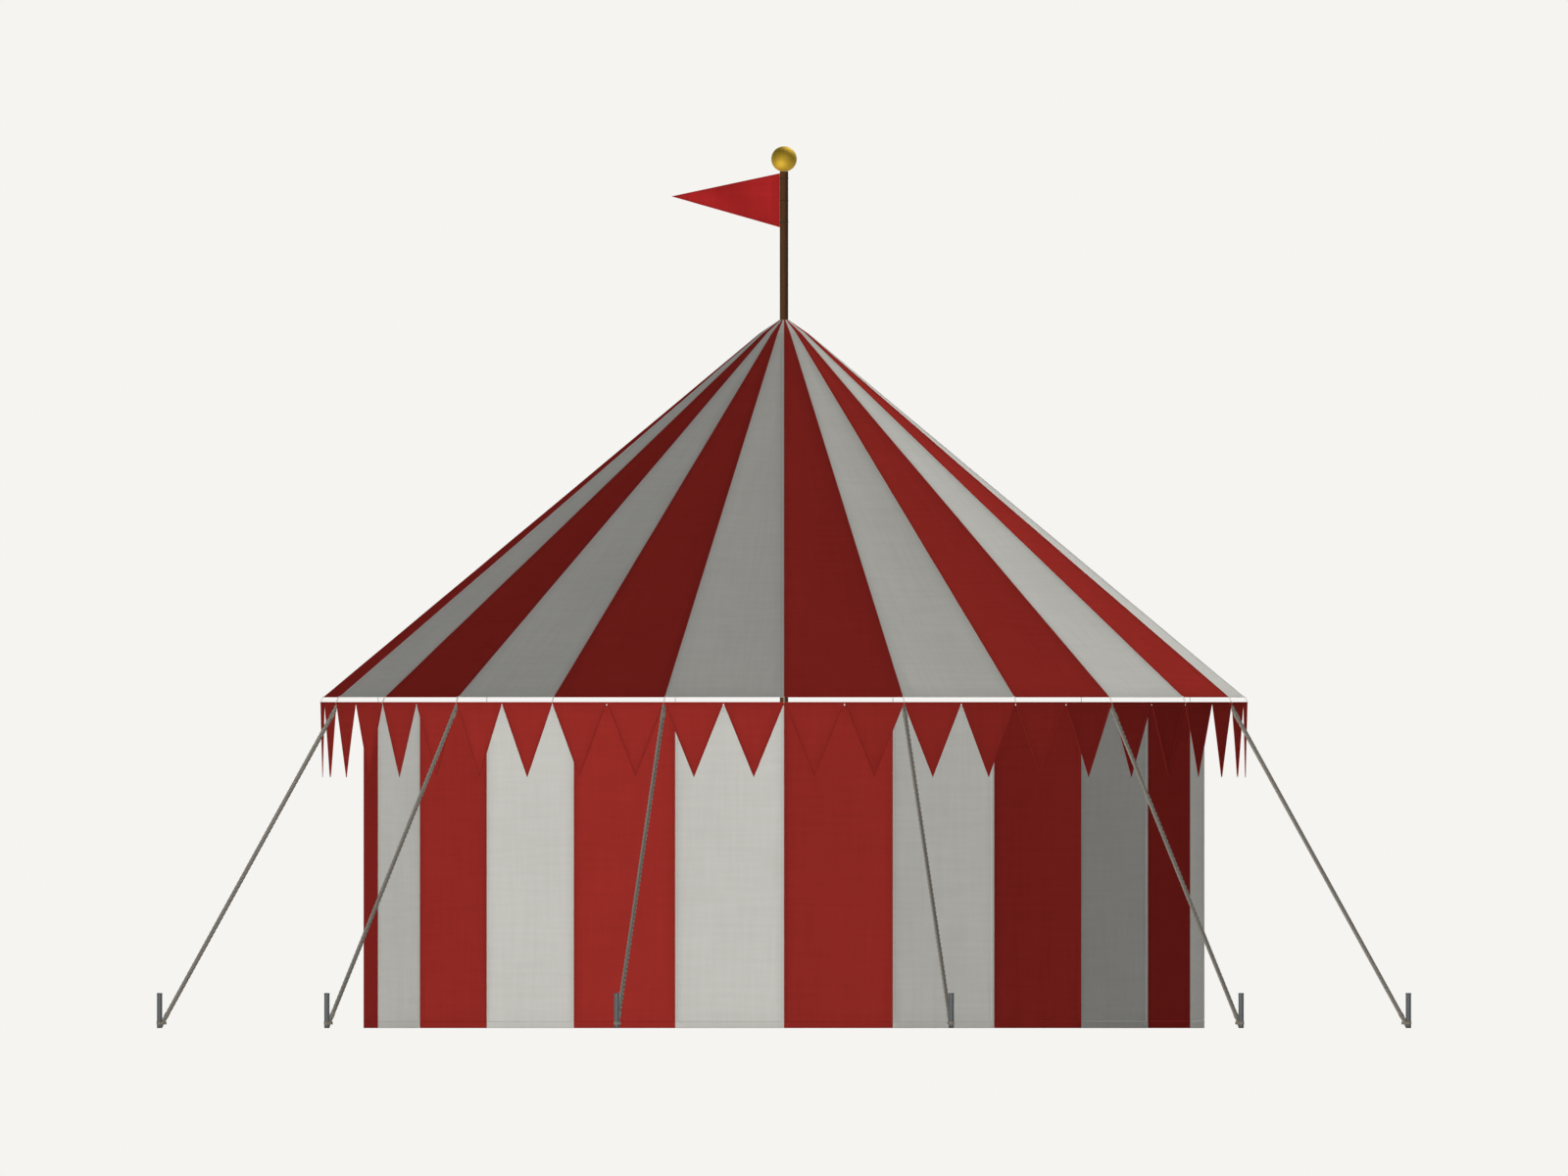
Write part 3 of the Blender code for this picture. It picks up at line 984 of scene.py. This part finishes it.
def screw(name, bm, rise, turns, steps, place_in_rope):
    """Spin the discs in a bmesh up a screw and return the mesh, with the lay of its fibres."""
    bmesh.ops.spin(
        bm,
        geom=bm.verts[:] + bm.edges[:] + bm.faces[:],
        axis=(0, 0, 1),
        cent=(0, 0, 0),
        dvec=(0, 0, rise / steps),
        angle=turns * math.tau,
        steps=steps,
    )
    bmesh.ops.recalc_face_normals(bm, faces=bm.faces)
    lay = bm.verts.layers.float_vector.new("lay")
    for vert in bm.verts:
        vert[lay] = place_in_rope(vert.co)
    mesh = bpy.data.meshes.new(name)
    bm.to_mesh(mesh)
    bm.free()
    return mesh


def laid_rope(name, length, radius, strands, sides, steps_per_turn):
    """A straight rope that stands on the origin."""
    strand = radius * STRAND_SHARE[strands]
    centre = radius - strand
    twist_length = TWIST_LENGTH * 2 * radius
    tilt = math.atan2(math.tau * centre, twist_length)
    bm = bmesh.new()
    for number in range(strands):
        turn = Matrix.Rotation(number * math.tau / strands, 4, "Z")
        place = turn @ Matrix.Translation((centre, 0, 0)) @ Matrix.Rotation(-tilt, 4, "X")
        bmesh.ops.create_circle(bm, segments=sides, radius=strand, matrix=place, cap_ends=True)
    turns = length / twist_length
    return screw(name, bm, length, turns, math.ceil(turns * steps_per_turn), lambda point: point)


print(f"a rope turns once in {TWIST_LENGTH} diameters")

# %% [markdown]
# Coils, and cutting to length.
#
# A whipping or a lashing is a coil of thin cord: the same screw, flatter and wider, made of one disc that
# stands on edge. Its fibres run round with it, so their lay is counted along the turns. A rope is cut by a
# plane, and every strand gets a new face there, because a rope's end is solid.

# %% Coils and cuts
def coil(name, inner_radius, cord_radius, turns, sides=6, steps_per_turn=18):
    """Turns of thin cord side by side, round an upright axis through the origin."""
    rise = 2 * cord_radius * turns
    upright = Matrix.Rotation(math.radians(90), 4, "X")
    place = Matrix.Translation((inner_radius + cord_radius, 0, -rise / 2)) @ upright
    bm = bmesh.new()
    bmesh.ops.create_circle(bm, segments=sides, radius=cord_radius, matrix=place, cap_ends=True)

    def place_in_cord(point):
        around = math.atan2(point.y, point.x) * inner_radius
        return (math.hypot(point.x, point.y) - inner_radius, point.z, around)

    return screw(name, bm, rise, turns, turns * steps_per_turn, place_in_cord)


def trim(bm, point, normal):
    """Cut off what lies beyond a plane and close the cut."""
    bmesh.ops.bisect_plane(
        bm,
        geom=bm.verts[:] + bm.edges[:] + bm.faces[:],
        plane_co=point,
        plane_no=normal,
        clear_outer=True,
    )
    bmesh.ops.holes_fill(bm, edges=[edge for edge in bm.edges if edge.is_boundary])


print("ready: coils and straight cuts")

# %% [markdown]
# The line of a guy.
#
# A rope that is stretched tight is a straight line, from the head of the valance to the foot of its stake.
# The frame tells where the stakes stand, and how steep and how long the line is follows from its two ends.

# %% Guy line
ROPE_TOP_HEIGHT = 1.905     # middle of the rope where it meets the valance
CLEARANCE = 0.0003
STAKE_RADIUS = 0.016

stake_low, stake_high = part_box("stake_01")
stake_centre = (stake_low + stake_high) / 2
STAKE_RING = math.hypot(stake_centre.x, stake_centre.y)
STAKE_HEIGHT = stake_high.z
ROPE_TOP = VALANCE_RADIUS + CLEARANCE
ROPE_FOOT = STAKE_RING - STAKE_RADIUS - CLEARANCE
rope_fall = ROPE_TOP_HEIGHT / (STAKE_RING - ROPE_TOP)
rope_length = (ROPE_FOOT - ROPE_TOP) * math.hypot(1, rope_fall)
print(f"stakes {STAKE_RING:.3f} m from the pole, and each guy {rope_length:.3f} m long")

# %% [markdown]
# Guy ropes.
#
# Each of the twelve ropes is longer than it needs to be at first. It is turned by an angle of its own, so
# that no two look alike, laid along its line, and then cut upright at both ends, so that it meets the patch
# and the stake flat. A few turns of waxed twine, a whipping, keep each end from unlaying.

# %% Guy ropes
ROPE_RADIUS = 0.0137        # over the crests of the strands, for a rope of 26 mm
SPARE = 0.04                # extra rope at each end, cut off again
ROPE_STRANDS = 3
ROPE_SIDES = 8
ROPE_STEPS = 14             # round one turn of the lay
WHIPPING_TWINE = 0.0011
WHIPPING_TURNS = 11
WHIPPING_FROM_END = 0.055   # middle of the whipping, along the rope
WHIPPING_BITE = 0.0012      # how far its twine presses into the rope

spare_length = rope_length + 2 * SPARE
whole_rope = laid_rope("whole rope", spare_length, ROPE_RADIUS, ROPE_STRANDS, ROPE_SIDES, ROPE_STEPS)
whipping = coil("whipping", ROPE_RADIUS - WHIPPING_BITE, WHIPPING_TWINE, WHIPPING_TURNS)

draws = random.Random(3)
for number, bearing in enumerate(guy_bearings, start=1):
    away = outward(bearing)
    down_line = (away - lift(rope_fall)).normalized()
    top = away * ROPE_TOP + lift(ROPE_TOP_HEIGHT)
    foot = top + down_line * rope_length
    along = down_line.to_track_quat("Z", "Y").to_matrix().to_4x4()
    own_turn = Matrix.Rotation(draws.uniform(0, math.tau), 4, "Z")
    bm = bmesh.new()
    add_copy(bm, whole_rope, Matrix.Translation(top - down_line * SPARE) @ along @ own_turn)
    trim(bm, top, -away)
    trim(bm, foot, away)
    rope_faces = len(bm.faces)
    for spot in (top + down_line * WHIPPING_FROM_END, foot - down_line * WHIPPING_FROM_END):
        add_copy(bm, whipping, Matrix.Translation(spot) @ along)
    bm.faces.ensure_lookup_table()
    for face in bm.faces[rope_faces:]:
        face.material_index = 1
    rope = make_piece(f"guy_{number:02d}", bm, (hemp, twine), crease=60)
    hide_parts(f"guy_rope_{number:02d}")
print(f"{GUYS} guys, each cut from {spare_length:.3f} m of rope")

# %% [markdown]
# Dulled steel.
#
# The stakes are plain bar of mild steel that was never painted. It has dulled to a dark blue grey, with fine
# scratches along it, which are streaks once more, and a breath of brown rust. The rust is a blotchy noise
# that is held back by the height, so it shows only where the bar enters the ground.

# %% Steel finish
SCRATCHES = (900, 900, 30)  # to a metre: about 1 mm wide and 33 mm long
SCRATCH_DEPTH = 0.0003
RUST_SPOTS = 70.0           # to a metre
RUST_HEIGHT = 0.03          # above it the rust is held back in full
RUST_GAIN = (-0.25, 0.3)    # added to the noise, there and at the ground
RUST_EDGE = (0.55, 0.85)    # of that sum, from bare steel to full rust
STEEL_ROUGHNESS = (0.68, 0.90)      # bare, and rusty

steel, tree = new_finish("dulled mild steel bar")
place = add_node(tree, "TexCoord").outputs["Object"]
scratches = streaks(tree, place, SCRATCHES, 2.0)
blotches = add_node(tree, "TexNoise", {"Vector": place, "Scale": RUST_SPOTS, "Detail": 5.0})
near_ground = add_node(tree, "MapRange", {
    "Value": add_node(tree, "SeparateXYZ", {0: place}).outputs["Z"],
    **ends("From", (RUST_HEIGHT, 0.0)),
    **ends("To", RUST_GAIN),
})
rust = add_node(tree, "Math", {0: blotches, 1: near_ground}, operation="ADD", use_clamp=True)
rusty = add_node(tree, "MapRange", {
    "Value": rust,
    **ends("From", RUST_EDGE),
}, interpolation_type="SMOOTHSTEP")
bare = add_node(tree, "Mix", {
    "Factor": scratches,
    "A": linear("5B5F61"),
    "B": linear("737779"),
}, data_type="RGBA")
colour = add_node(tree, "Mix", {"Factor": rusty, "A": bare, "B": linear("5A4236")}, data_type="RGBA")
rough = add_node(tree, "MapRange", {"Value": rusty, **ends("To", STEEL_ROUGHNESS)})
surface(tree, colour, rough, scratches, SCRATCH_DEPTH, {"Metallic": 1.0})
print("metal finish:", steel.name)

# %% [markdown]
# Stakes.
#
# Each stake is driven upright, and a hammer has rounded its head and spread it a little. A turned shape like
# this is its own outline spun round its axis, and the outline's corner is a quarter of a circle.

# %% Stakes
HEAD_SPREAD = 0.0008
HEAD_LENGTH = 0.012
HEAD_EDGE = 0.004
STAKE_SIDES = 32


def turned(profile, steps, centre):
    """A closed solid turned from its outline round an upright axis through a point."""
    bm = spun(profile, steps)
    bmesh.ops.recalc_face_normals(bm, faces=bm.faces)
    bmesh.ops.translate(bm, verts=bm.verts, vec=centre)
    return bm


def rounded_corner(radius, height, edge, steps):
    """Points of a quarter circle that takes a turned outline from its side to its top."""
    points = []
    for step in range(steps + 1):
        turn = math.radians(90) * step / steps
        points.append((radius - edge + edge * math.cos(turn), height - edge + edge * math.sin(turn)))
    return points


stake_outline = [
    (0, 0),
    (STAKE_RADIUS, 0),
    (STAKE_RADIUS, STAKE_HEIGHT - HEAD_LENGTH),
    (STAKE_RADIUS + HEAD_SPREAD, STAKE_HEIGHT - HEAD_LENGTH / 2),
    *rounded_corner(STAKE_RADIUS + HEAD_SPREAD, STAKE_HEIGHT, HEAD_EDGE, steps=4),
    (0, STAKE_HEIGHT),
]
for number, bearing in enumerate(guy_bearings, start=1):
    bm = turned(stake_outline, STAKE_SIDES, outward(bearing) * STAKE_RING)
    stake = make_piece(f"steel_stake_{number:02d}", bm, (steel,))
    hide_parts(f"stake_{number:02d}")
print(f"{GUYS} stakes stand {STAKE_HEIGHT:.3f} m out of the ground")

# %% [markdown]
# Lashings at the stakes.
#
# A rope that only touched its stake would hold nothing. A thin twine seizing holds the two together: a coil
# that fits the stake, with its inner half drawn in towards the tent until it takes in the rope as well.

# %% Lashings
LASHING_TWINE = 0.0014
LASHING_TURNS = 6
LASHING_HEIGHT = 0.030
LASHING_REACH = 0.024       # how far its inner half is drawn in
LASHING_FIT = 0.0002        # how much tighter than the stake it is
INNER_HALF = 0.002          # where the inner half starts


def make_cords(name, one_cord, places, finish):
    """Make one piece of the copies of a cord at all its places."""
    bm = bmesh.new()
    for place in places:
        add_copy(bm, one_cord, place)
    make_piece(name, bm, (finish,), crease=60)


lashing = coil("lashing", STAKE_RADIUS - LASHING_FIT, LASHING_TWINE, LASHING_TURNS, steps_per_turn=24)
lashing.transform(Matrix.Rotation(math.radians(-90), 4, "Z"))
for vert in lashing.vertices:
    if vert.co.y > INNER_HALF:
        vert.co.y += LASHING_REACH
at_stake = Matrix.Translation(outward(0) * STAKE_RING + lift(LASHING_HEIGHT))
make_cords("stake_lashings", lashing, [around_pole(bearing) @ at_stake for bearing in guy_bearings], twine)
print(f"{GUYS} lashings of {LASHING_TURNS} turns")

# %% [markdown]
# Oiled ash.
#
# Ash has long, straight grain with open pores, and this pole is dark with old oil. Wood grain is a solid
# pattern, so it reads the pole's own space: rings that wander a little, drawn out along the pole, with fine
# pores between them. The rings are about 3 mm apart, as in fast-grown ash, and their middle lies a little
# beside the pole's, because no tree grows quite straight.

# %% Ash finish
RING_WIDTH = 0.003
RING_SHIFT = (0.011, 0.006, 0)      # of the pole's middle from the tree's
RING_STRETCH = 0.04         # how fast the rings wander along the pole, to once across it
PORE_WIDTH = 0.0009
PORE_LENGTH = 0.03
PORE_SHARE = 0.8            # of the pores in the grain, to one share of the rings
GRAIN_TONES = (0.2, 1.6)    # of both added up, for the deep tone and for the pale one
GRAIN_DEPTH = 0.0004
ASH_ROUGHNESS = (0.8, 0.6)  # from the lowest place in the pores' noise to the highest

ash, tree = new_finish("oiled ash")
place = add_node(tree, "TexCoord").outputs["Object"]
wander = add_node(tree, "Mapping", {"Vector": place, "Location": RING_SHIFT, "Scale": (1, 1, RING_STRETCH)})
rings = add_node(tree, "TexWave", {
    "Vector": wander,
    "Scale": BAND_PERIOD / RING_WIDTH,
    "Distortion": 3.0,
    "Detail": 2.0,
    "Detail Scale": 1.2,
}, wave_type="RINGS", rings_direction="Z").outputs["Fac"]
pores = streaks(tree, place, (1 / PORE_WIDTH, 1 / PORE_WIDTH, 1 / PORE_LENGTH), 2.0)
grain = add_node(tree, "Math", {0: pores, 1: PORE_SHARE, 2: rings}, operation="MULTIPLY_ADD")
tone = add_node(tree, "MapRange", {"Value": grain, **ends("From", GRAIN_TONES)})
colour = add_node(tree, "Mix", {
    "Factor": tone,
    "A": linear("492E14"),
    "B": linear("694724"),
}, data_type="RGBA")
rough = add_node(tree, "MapRange", {"Value": pores, **ends("To", ASH_ROUGHNESS)})
surface(tree, colour, rough, grain, GRAIN_DEPTH, {"Specular IOR Level": 0.2})
print("wood finish:", ash.name)

# %% [markdown]
# The pole.
#
# One pole carries everything. It stands on the ground in the middle of the tent, comes out through the roof's
# collar and ends under the ball. It is turned like a stake, with its top edge just broken.

# %% Pole
POLE_SIDES = 48
POLE_EDGE = 0.0015

pole_outline = [
    (0, 0),
    (POLE_RADIUS, 0),
    *rounded_corner(POLE_RADIUS, POLE_TOP, POLE_EDGE, steps=3),
    (0, POLE_TOP),
]
pole = make_piece("ash_pole", turned(pole_outline, POLE_SIDES, lift(0)), (ash,))
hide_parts("centre_pole")
print(f"pole {POLE_TOP:.3f} m tall")

# %% [markdown]
# Gold leaf.
#
# Leaf is beaten gold, laid over a red clay ground, or bole, in squares of about 80 mm that overlap by a hair,
# so faint straight lines cross it. A brick pattern with thin mortar draws them. Where hands and weather have
# rubbed the leaf, the bole shows through. It is smooth but not polished, which gives a broad, soft highlight.

# %% Gold finish
LEAF = 0.08
LAP = 0.0012                # width of the line where two leaves meet
LEAF_TONES = (0.95, 1.0)    # of the darkest leaf and the palest
LAP_TONE = 0.82             # of the line between them
LEAF_DEPTH = 0.0001
RUBBED_SPOTS = 30.0         # to a metre
RUBBED_EDGE = (0.68, 0.78)  # of their noise, from whole leaf to bare bole
GOLD_ROUGHNESS = (0.68, 0.78)       # from the least rubbed place to the most

gold, tree = new_finish("gold leaf over red bole")
leaves = add_node(tree, "TexBrick", {
    "Vector": add_node(tree, "UVMap", uv_map="leaf"),
    "Scale": 1.0,
    "Mortar Size": LAP,
    "Mortar Smooth": 0.6,
    "Brick Width": LEAF,
    "Row Height": LEAF,
    "Color1": grey(LEAF_TONES[0]),
    "Color2": grey(LEAF_TONES[1]),
    "Mortar": grey(LAP_TONE),
})
tinted = add_node(tree, "VectorMath", {0: leaves, 1: linear("D0B140")[:3]}, operation="MULTIPLY")
rubbed = add_node(tree, "TexNoise", {
    "Vector": add_node(tree, "TexCoord").outputs["Object"],
    "Scale": RUBBED_SPOTS,
    "Detail": 6.0,
})
worn = add_node(tree, "MapRange", {
    "Value": rubbed,
    **ends("From", RUBBED_EDGE),
}, interpolation_type="SMOOTHSTEP")
colour = add_node(tree, "Mix", {"Factor": worn, "A": tinted, "B": linear("8A4A26")}, data_type="RGBA")
rough = add_node(tree, "MapRange", {"Value": rubbed, **ends("To", GOLD_ROUGHNESS)})
surface(tree, colour, rough, rubbed, LEAF_DEPTH, {"Metallic": 1.0})
print("gilding:", gold.name)

# %% [markdown]
# The gilded ball.
#
# The ball on top is turned from wood and sits on the pole's end, so a sphere has its underside cut flat. The
# leaf reads a map that goes round the ball and up it, in metres. Round each face the turn is counted from
# that face's own middle, so that no face reaches across the map's seam.

# %% Ball
BALL_SEGMENTS = 64
BALL_RINGS = 40

ball_low, ball_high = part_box("finial_ball")
BALL_RADIUS = (ball_high.x - ball_low.x) / 2
BALL_CENTRE = ball_high.z - BALL_RADIUS

bm = bmesh.new()
bmesh.ops.create_uvsphere(
    bm,
    u_segments=BALL_SEGMENTS,
    v_segments=BALL_RINGS,
    radius=BALL_RADIUS,
    matrix=Matrix.Translation(lift(BALL_CENTRE)),
)
trim(bm, ball_low, lift(-1))
leaf_map = bm.loops.layers.uv.new("leaf")
for face in bm.faces:
    middle = face.calc_center_median() - lift(BALL_CENTRE)
    facing = math.atan2(middle.y, middle.x)
    for loop in face.loops:
        spot = loop.vert.co - lift(BALL_CENTRE)
        turn = math.atan2(spot.y, spot.x) if math.hypot(spot.x, spot.y) > TOUCHING else facing
        turn += math.tau * round((facing - turn) / math.tau)
        rise = math.asin(max(-1, min(1, spot.z / BALL_RADIUS)))
        loop[leaf_map].uv = (turn * BALL_RADIUS, rise * BALL_RADIUS)
ball = make_piece("gilded_ball", bm, (gold,))
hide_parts("finial_ball")
print(f"ball {2 * BALL_RADIUS:.3f} m across")

# %% [markdown]
# The pennon's cloth.
#
# The pennon is one triangle of light wool bunting, hemmed all round. It starts as a single face. One inset
# draws the hem round it, and a cut of every edge gives it points to wave with. Each small face then looks for
# the side of the triangle that is nearest, and if it lies on the hem, its stitches are counted from there.

# %% Pennon cloth
PENNON_TIP_HEIGHT = 4.946
PENNON_HEM = 0.012
PENNON_CUTS = 13
BUNTING_THREAD = 0.0015

bunting = cloth_finish("red wool bunting", "C22C2C", "CC3131", "9C2424", BUNTING_THREAD, 0.85)
pennon_low, pennon_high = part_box("pennon")
hoist = pennon_high.x
fly = hoist - pennon_low.x
pennon_top, pennon_bottom = pennon_high.z, pennon_low.z
pennon_corners = [
    Vector((hoist, 0, pennon_top)),
    Vector((pennon_low.x, 0, PENNON_TIP_HEIGHT)),
    Vector((hoist, 0, pennon_bottom)),
]
pennon_edges = list(zip(pennon_corners, pennon_corners[1:] + pennon_corners[:1]))


def from_edge(point, edge):
    """Distance of a point from a hem's edge, and how far along the hem it lies."""
    start, end = edge
    direction = (end - start).normalized()
    along = (point - start).dot(direction)
    return (point - start - direction * along).length, along


bm = bmesh.new()
bm.faces.new([bm.verts.new(corner) for corner in pennon_corners])
bm.normal_update()
bmesh.ops.inset_individual(bm, faces=bm.faces[:], thickness=PENNON_HEM, use_even_offset=True)
bmesh.ops.subdivide_edges(bm, edges=bm.edges[:], cuts=PENNON_CUTS, use_grid_fill=True)
cloth_map, sewing_map, wear_layer = cloth_layers(bm)
for face in bm.faces:
    centre = face.calc_center_median()
    nearest = min(pennon_edges, key=lambda edge: from_edge(centre, edge)[0])
    hemmed = from_edge(centre, nearest)[0] < PENNON_HEM
    for loop in face.loops:
        inside, along = from_edge(loop.vert.co, nearest)
        loop[cloth_map].uv = (loop.vert.co.x, loop.vert.co.z)
        loop[sewing_map].uv = (min(inside, PENNON_HEM - inside) if hemmed else PENNON_HEM, along)
for vert in bm.verts:
    inside = min(from_edge(vert.co, edge)[0] for edge in pennon_edges)
    vert[wear_layer] = wear_at(inside, PENNON_HEM)

# %% [markdown]
# The pennon in the wind.
#
# A light wind lifts the pennon straight out from the pole. A flag waves more the further it is from there, so
# a wave along it grows towards the tip and slants a little, while its outline stays as it was cut.

# %% Pennon
WAVES = 1.35                # along the whole pennon
WAVE_DEPTH = 0.014
WAVE_SLANT = 2.2            # turns of the wave for each metre of height
WAVE_GROWTH = 0.8           # the power of the distance from the pole with which the wave grows
PENNON_CLOTH = 0.0015

for vert in bm.verts:
    out = (hoist - vert.co.x) / fly
    slant = WAVE_SLANT * (vert.co.z - PENNON_TIP_HEIGHT)
    wave = math.sin(math.tau * (WAVES * out - slant))
    steady = math.sin(math.tau * slant) * (1 - out)
    vert.co.y = WAVE_DEPTH * out ** WAVE_GROWTH * (wave + steady)

furthest = max(abs(vert.co.y) for vert in bm.verts)
pennon = make_piece("bunting_pennon", bm, (bunting,))
thicken(pennon, PENNON_CLOTH, offset=0)
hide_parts("pennon")
print(f"it waves by up to {1000 * furthest:.0f} mm to either side")

# %% [markdown]
# Hoist ties.
#
# Three turns of tarred line hold the pennon to the pole near each corner and in the middle. The coil is made
# once, as wide inside as the pole is thick, and put at three heights.

# %% Hoist ties
HOIST_LINE = 0.0009
HOIST_TURNS = 3
HOIST_INSET = 0.03          # from the pennon's corners to the outer ties

hoist_tie = coil("hoist tie", POLE_RADIUS, HOIST_LINE, HOIST_TURNS, steps_per_turn=32)
heights = (pennon_top - HOIST_INSET, (pennon_top + pennon_bottom) / 2, pennon_bottom + HOIST_INSET)
make_cords("hoist_ties", hoist_tie, [Matrix.Translation(lift(height)) for height in heights], tarred)
print(f"hoist ties of {HOIST_TURNS} turns")

# %% [markdown]
# Valance loops.
#
# The valance hangs clear of the roof on a short loop of cotton cord at every seam, which leaves the bright
# line under the eave. A loop starts as one turn of cord whose upper half is then lifted, and it leans,
# because the valance hangs a little further out than the eave.

# %% Valance loops
LOOP_CORD = 0.0013
LOOP_INNER = 0.0018
LOOP_GRIP = 0.004           # how far a loop reaches over the edge of each cloth

loop_low = VALANCE_TOP - LOOP_GRIP
loop_high = EAVE_HEIGHT + LOOP_GRIP
loop_ends = loop_high - loop_low - 2 * LOOP_INNER
loop_lean = VALANCE_RADIUS - EAVE_RADIUS

one_loop = coil("one loop", LOOP_INNER, LOOP_CORD, 1, steps_per_turn=20)
one_loop.transform(Matrix.Rotation(math.radians(90), 4, "X"))
one_loop.transform(Matrix.Rotation(math.radians(-90), 4, "Z"))
for vert in one_loop.vertices:
    if vert.co.z > 0:
        vert.co += lift(loop_ends) - outward(0) * loop_lean
hung_at = Matrix.Translation(outward(0) * VALANCE_RADIUS + lift(loop_low + LOOP_INNER))
seams = [number * STRIPE_TURN for number in range(STRIPES)]
make_cords("valance_loops", one_loop, [around_pole(seam) @ hung_at for seam in seams], cotton)
print(f"{STRIPES} loops of {1000 * (loop_high - loop_low):.0f} mm")

# %% [markdown]
# Wall ties.
#
# Behind the valance, the wall's head is tied up to the roof at every other seam. Each tie is a short cord of
# two strands, laid like a guy rope but thinner, from a little way down the wall to the underside of the roof.

# %% Wall ties
TIE_CORD = 0.003
TIE_STRANDS = 2
TIE_GRIP = 0.012            # how far a tie reaches down over the wall's head
TIE_SIDES = 6
TIE_STEPS = 10              # round one turn of the lay

roof_pitch = gore_rise / (EAVE_RADIUS - CROWN_RADIUS)
tie_radius = WALL_RADIUS - CLOTH / 2
tie_foot = WALL_HEIGHT - TIE_GRIP
tie_head = EAVE_HEIGHT + (EAVE_RADIUS - tie_radius) * roof_pitch - CLOTH
one_tie = laid_rope("one tie", tie_head - tie_foot, TIE_CORD, TIE_STRANDS, TIE_SIDES, TIE_STEPS)
tied_at = Matrix.Translation(outward(0) * tie_radius + lift(tie_foot))
make_cords("wall_ties", one_tie, [around_pole(bearing) @ tied_at for bearing in guy_bearings], cotton)
print(f"{GUYS} ties of {tie_head - tie_foot:.3f} m")
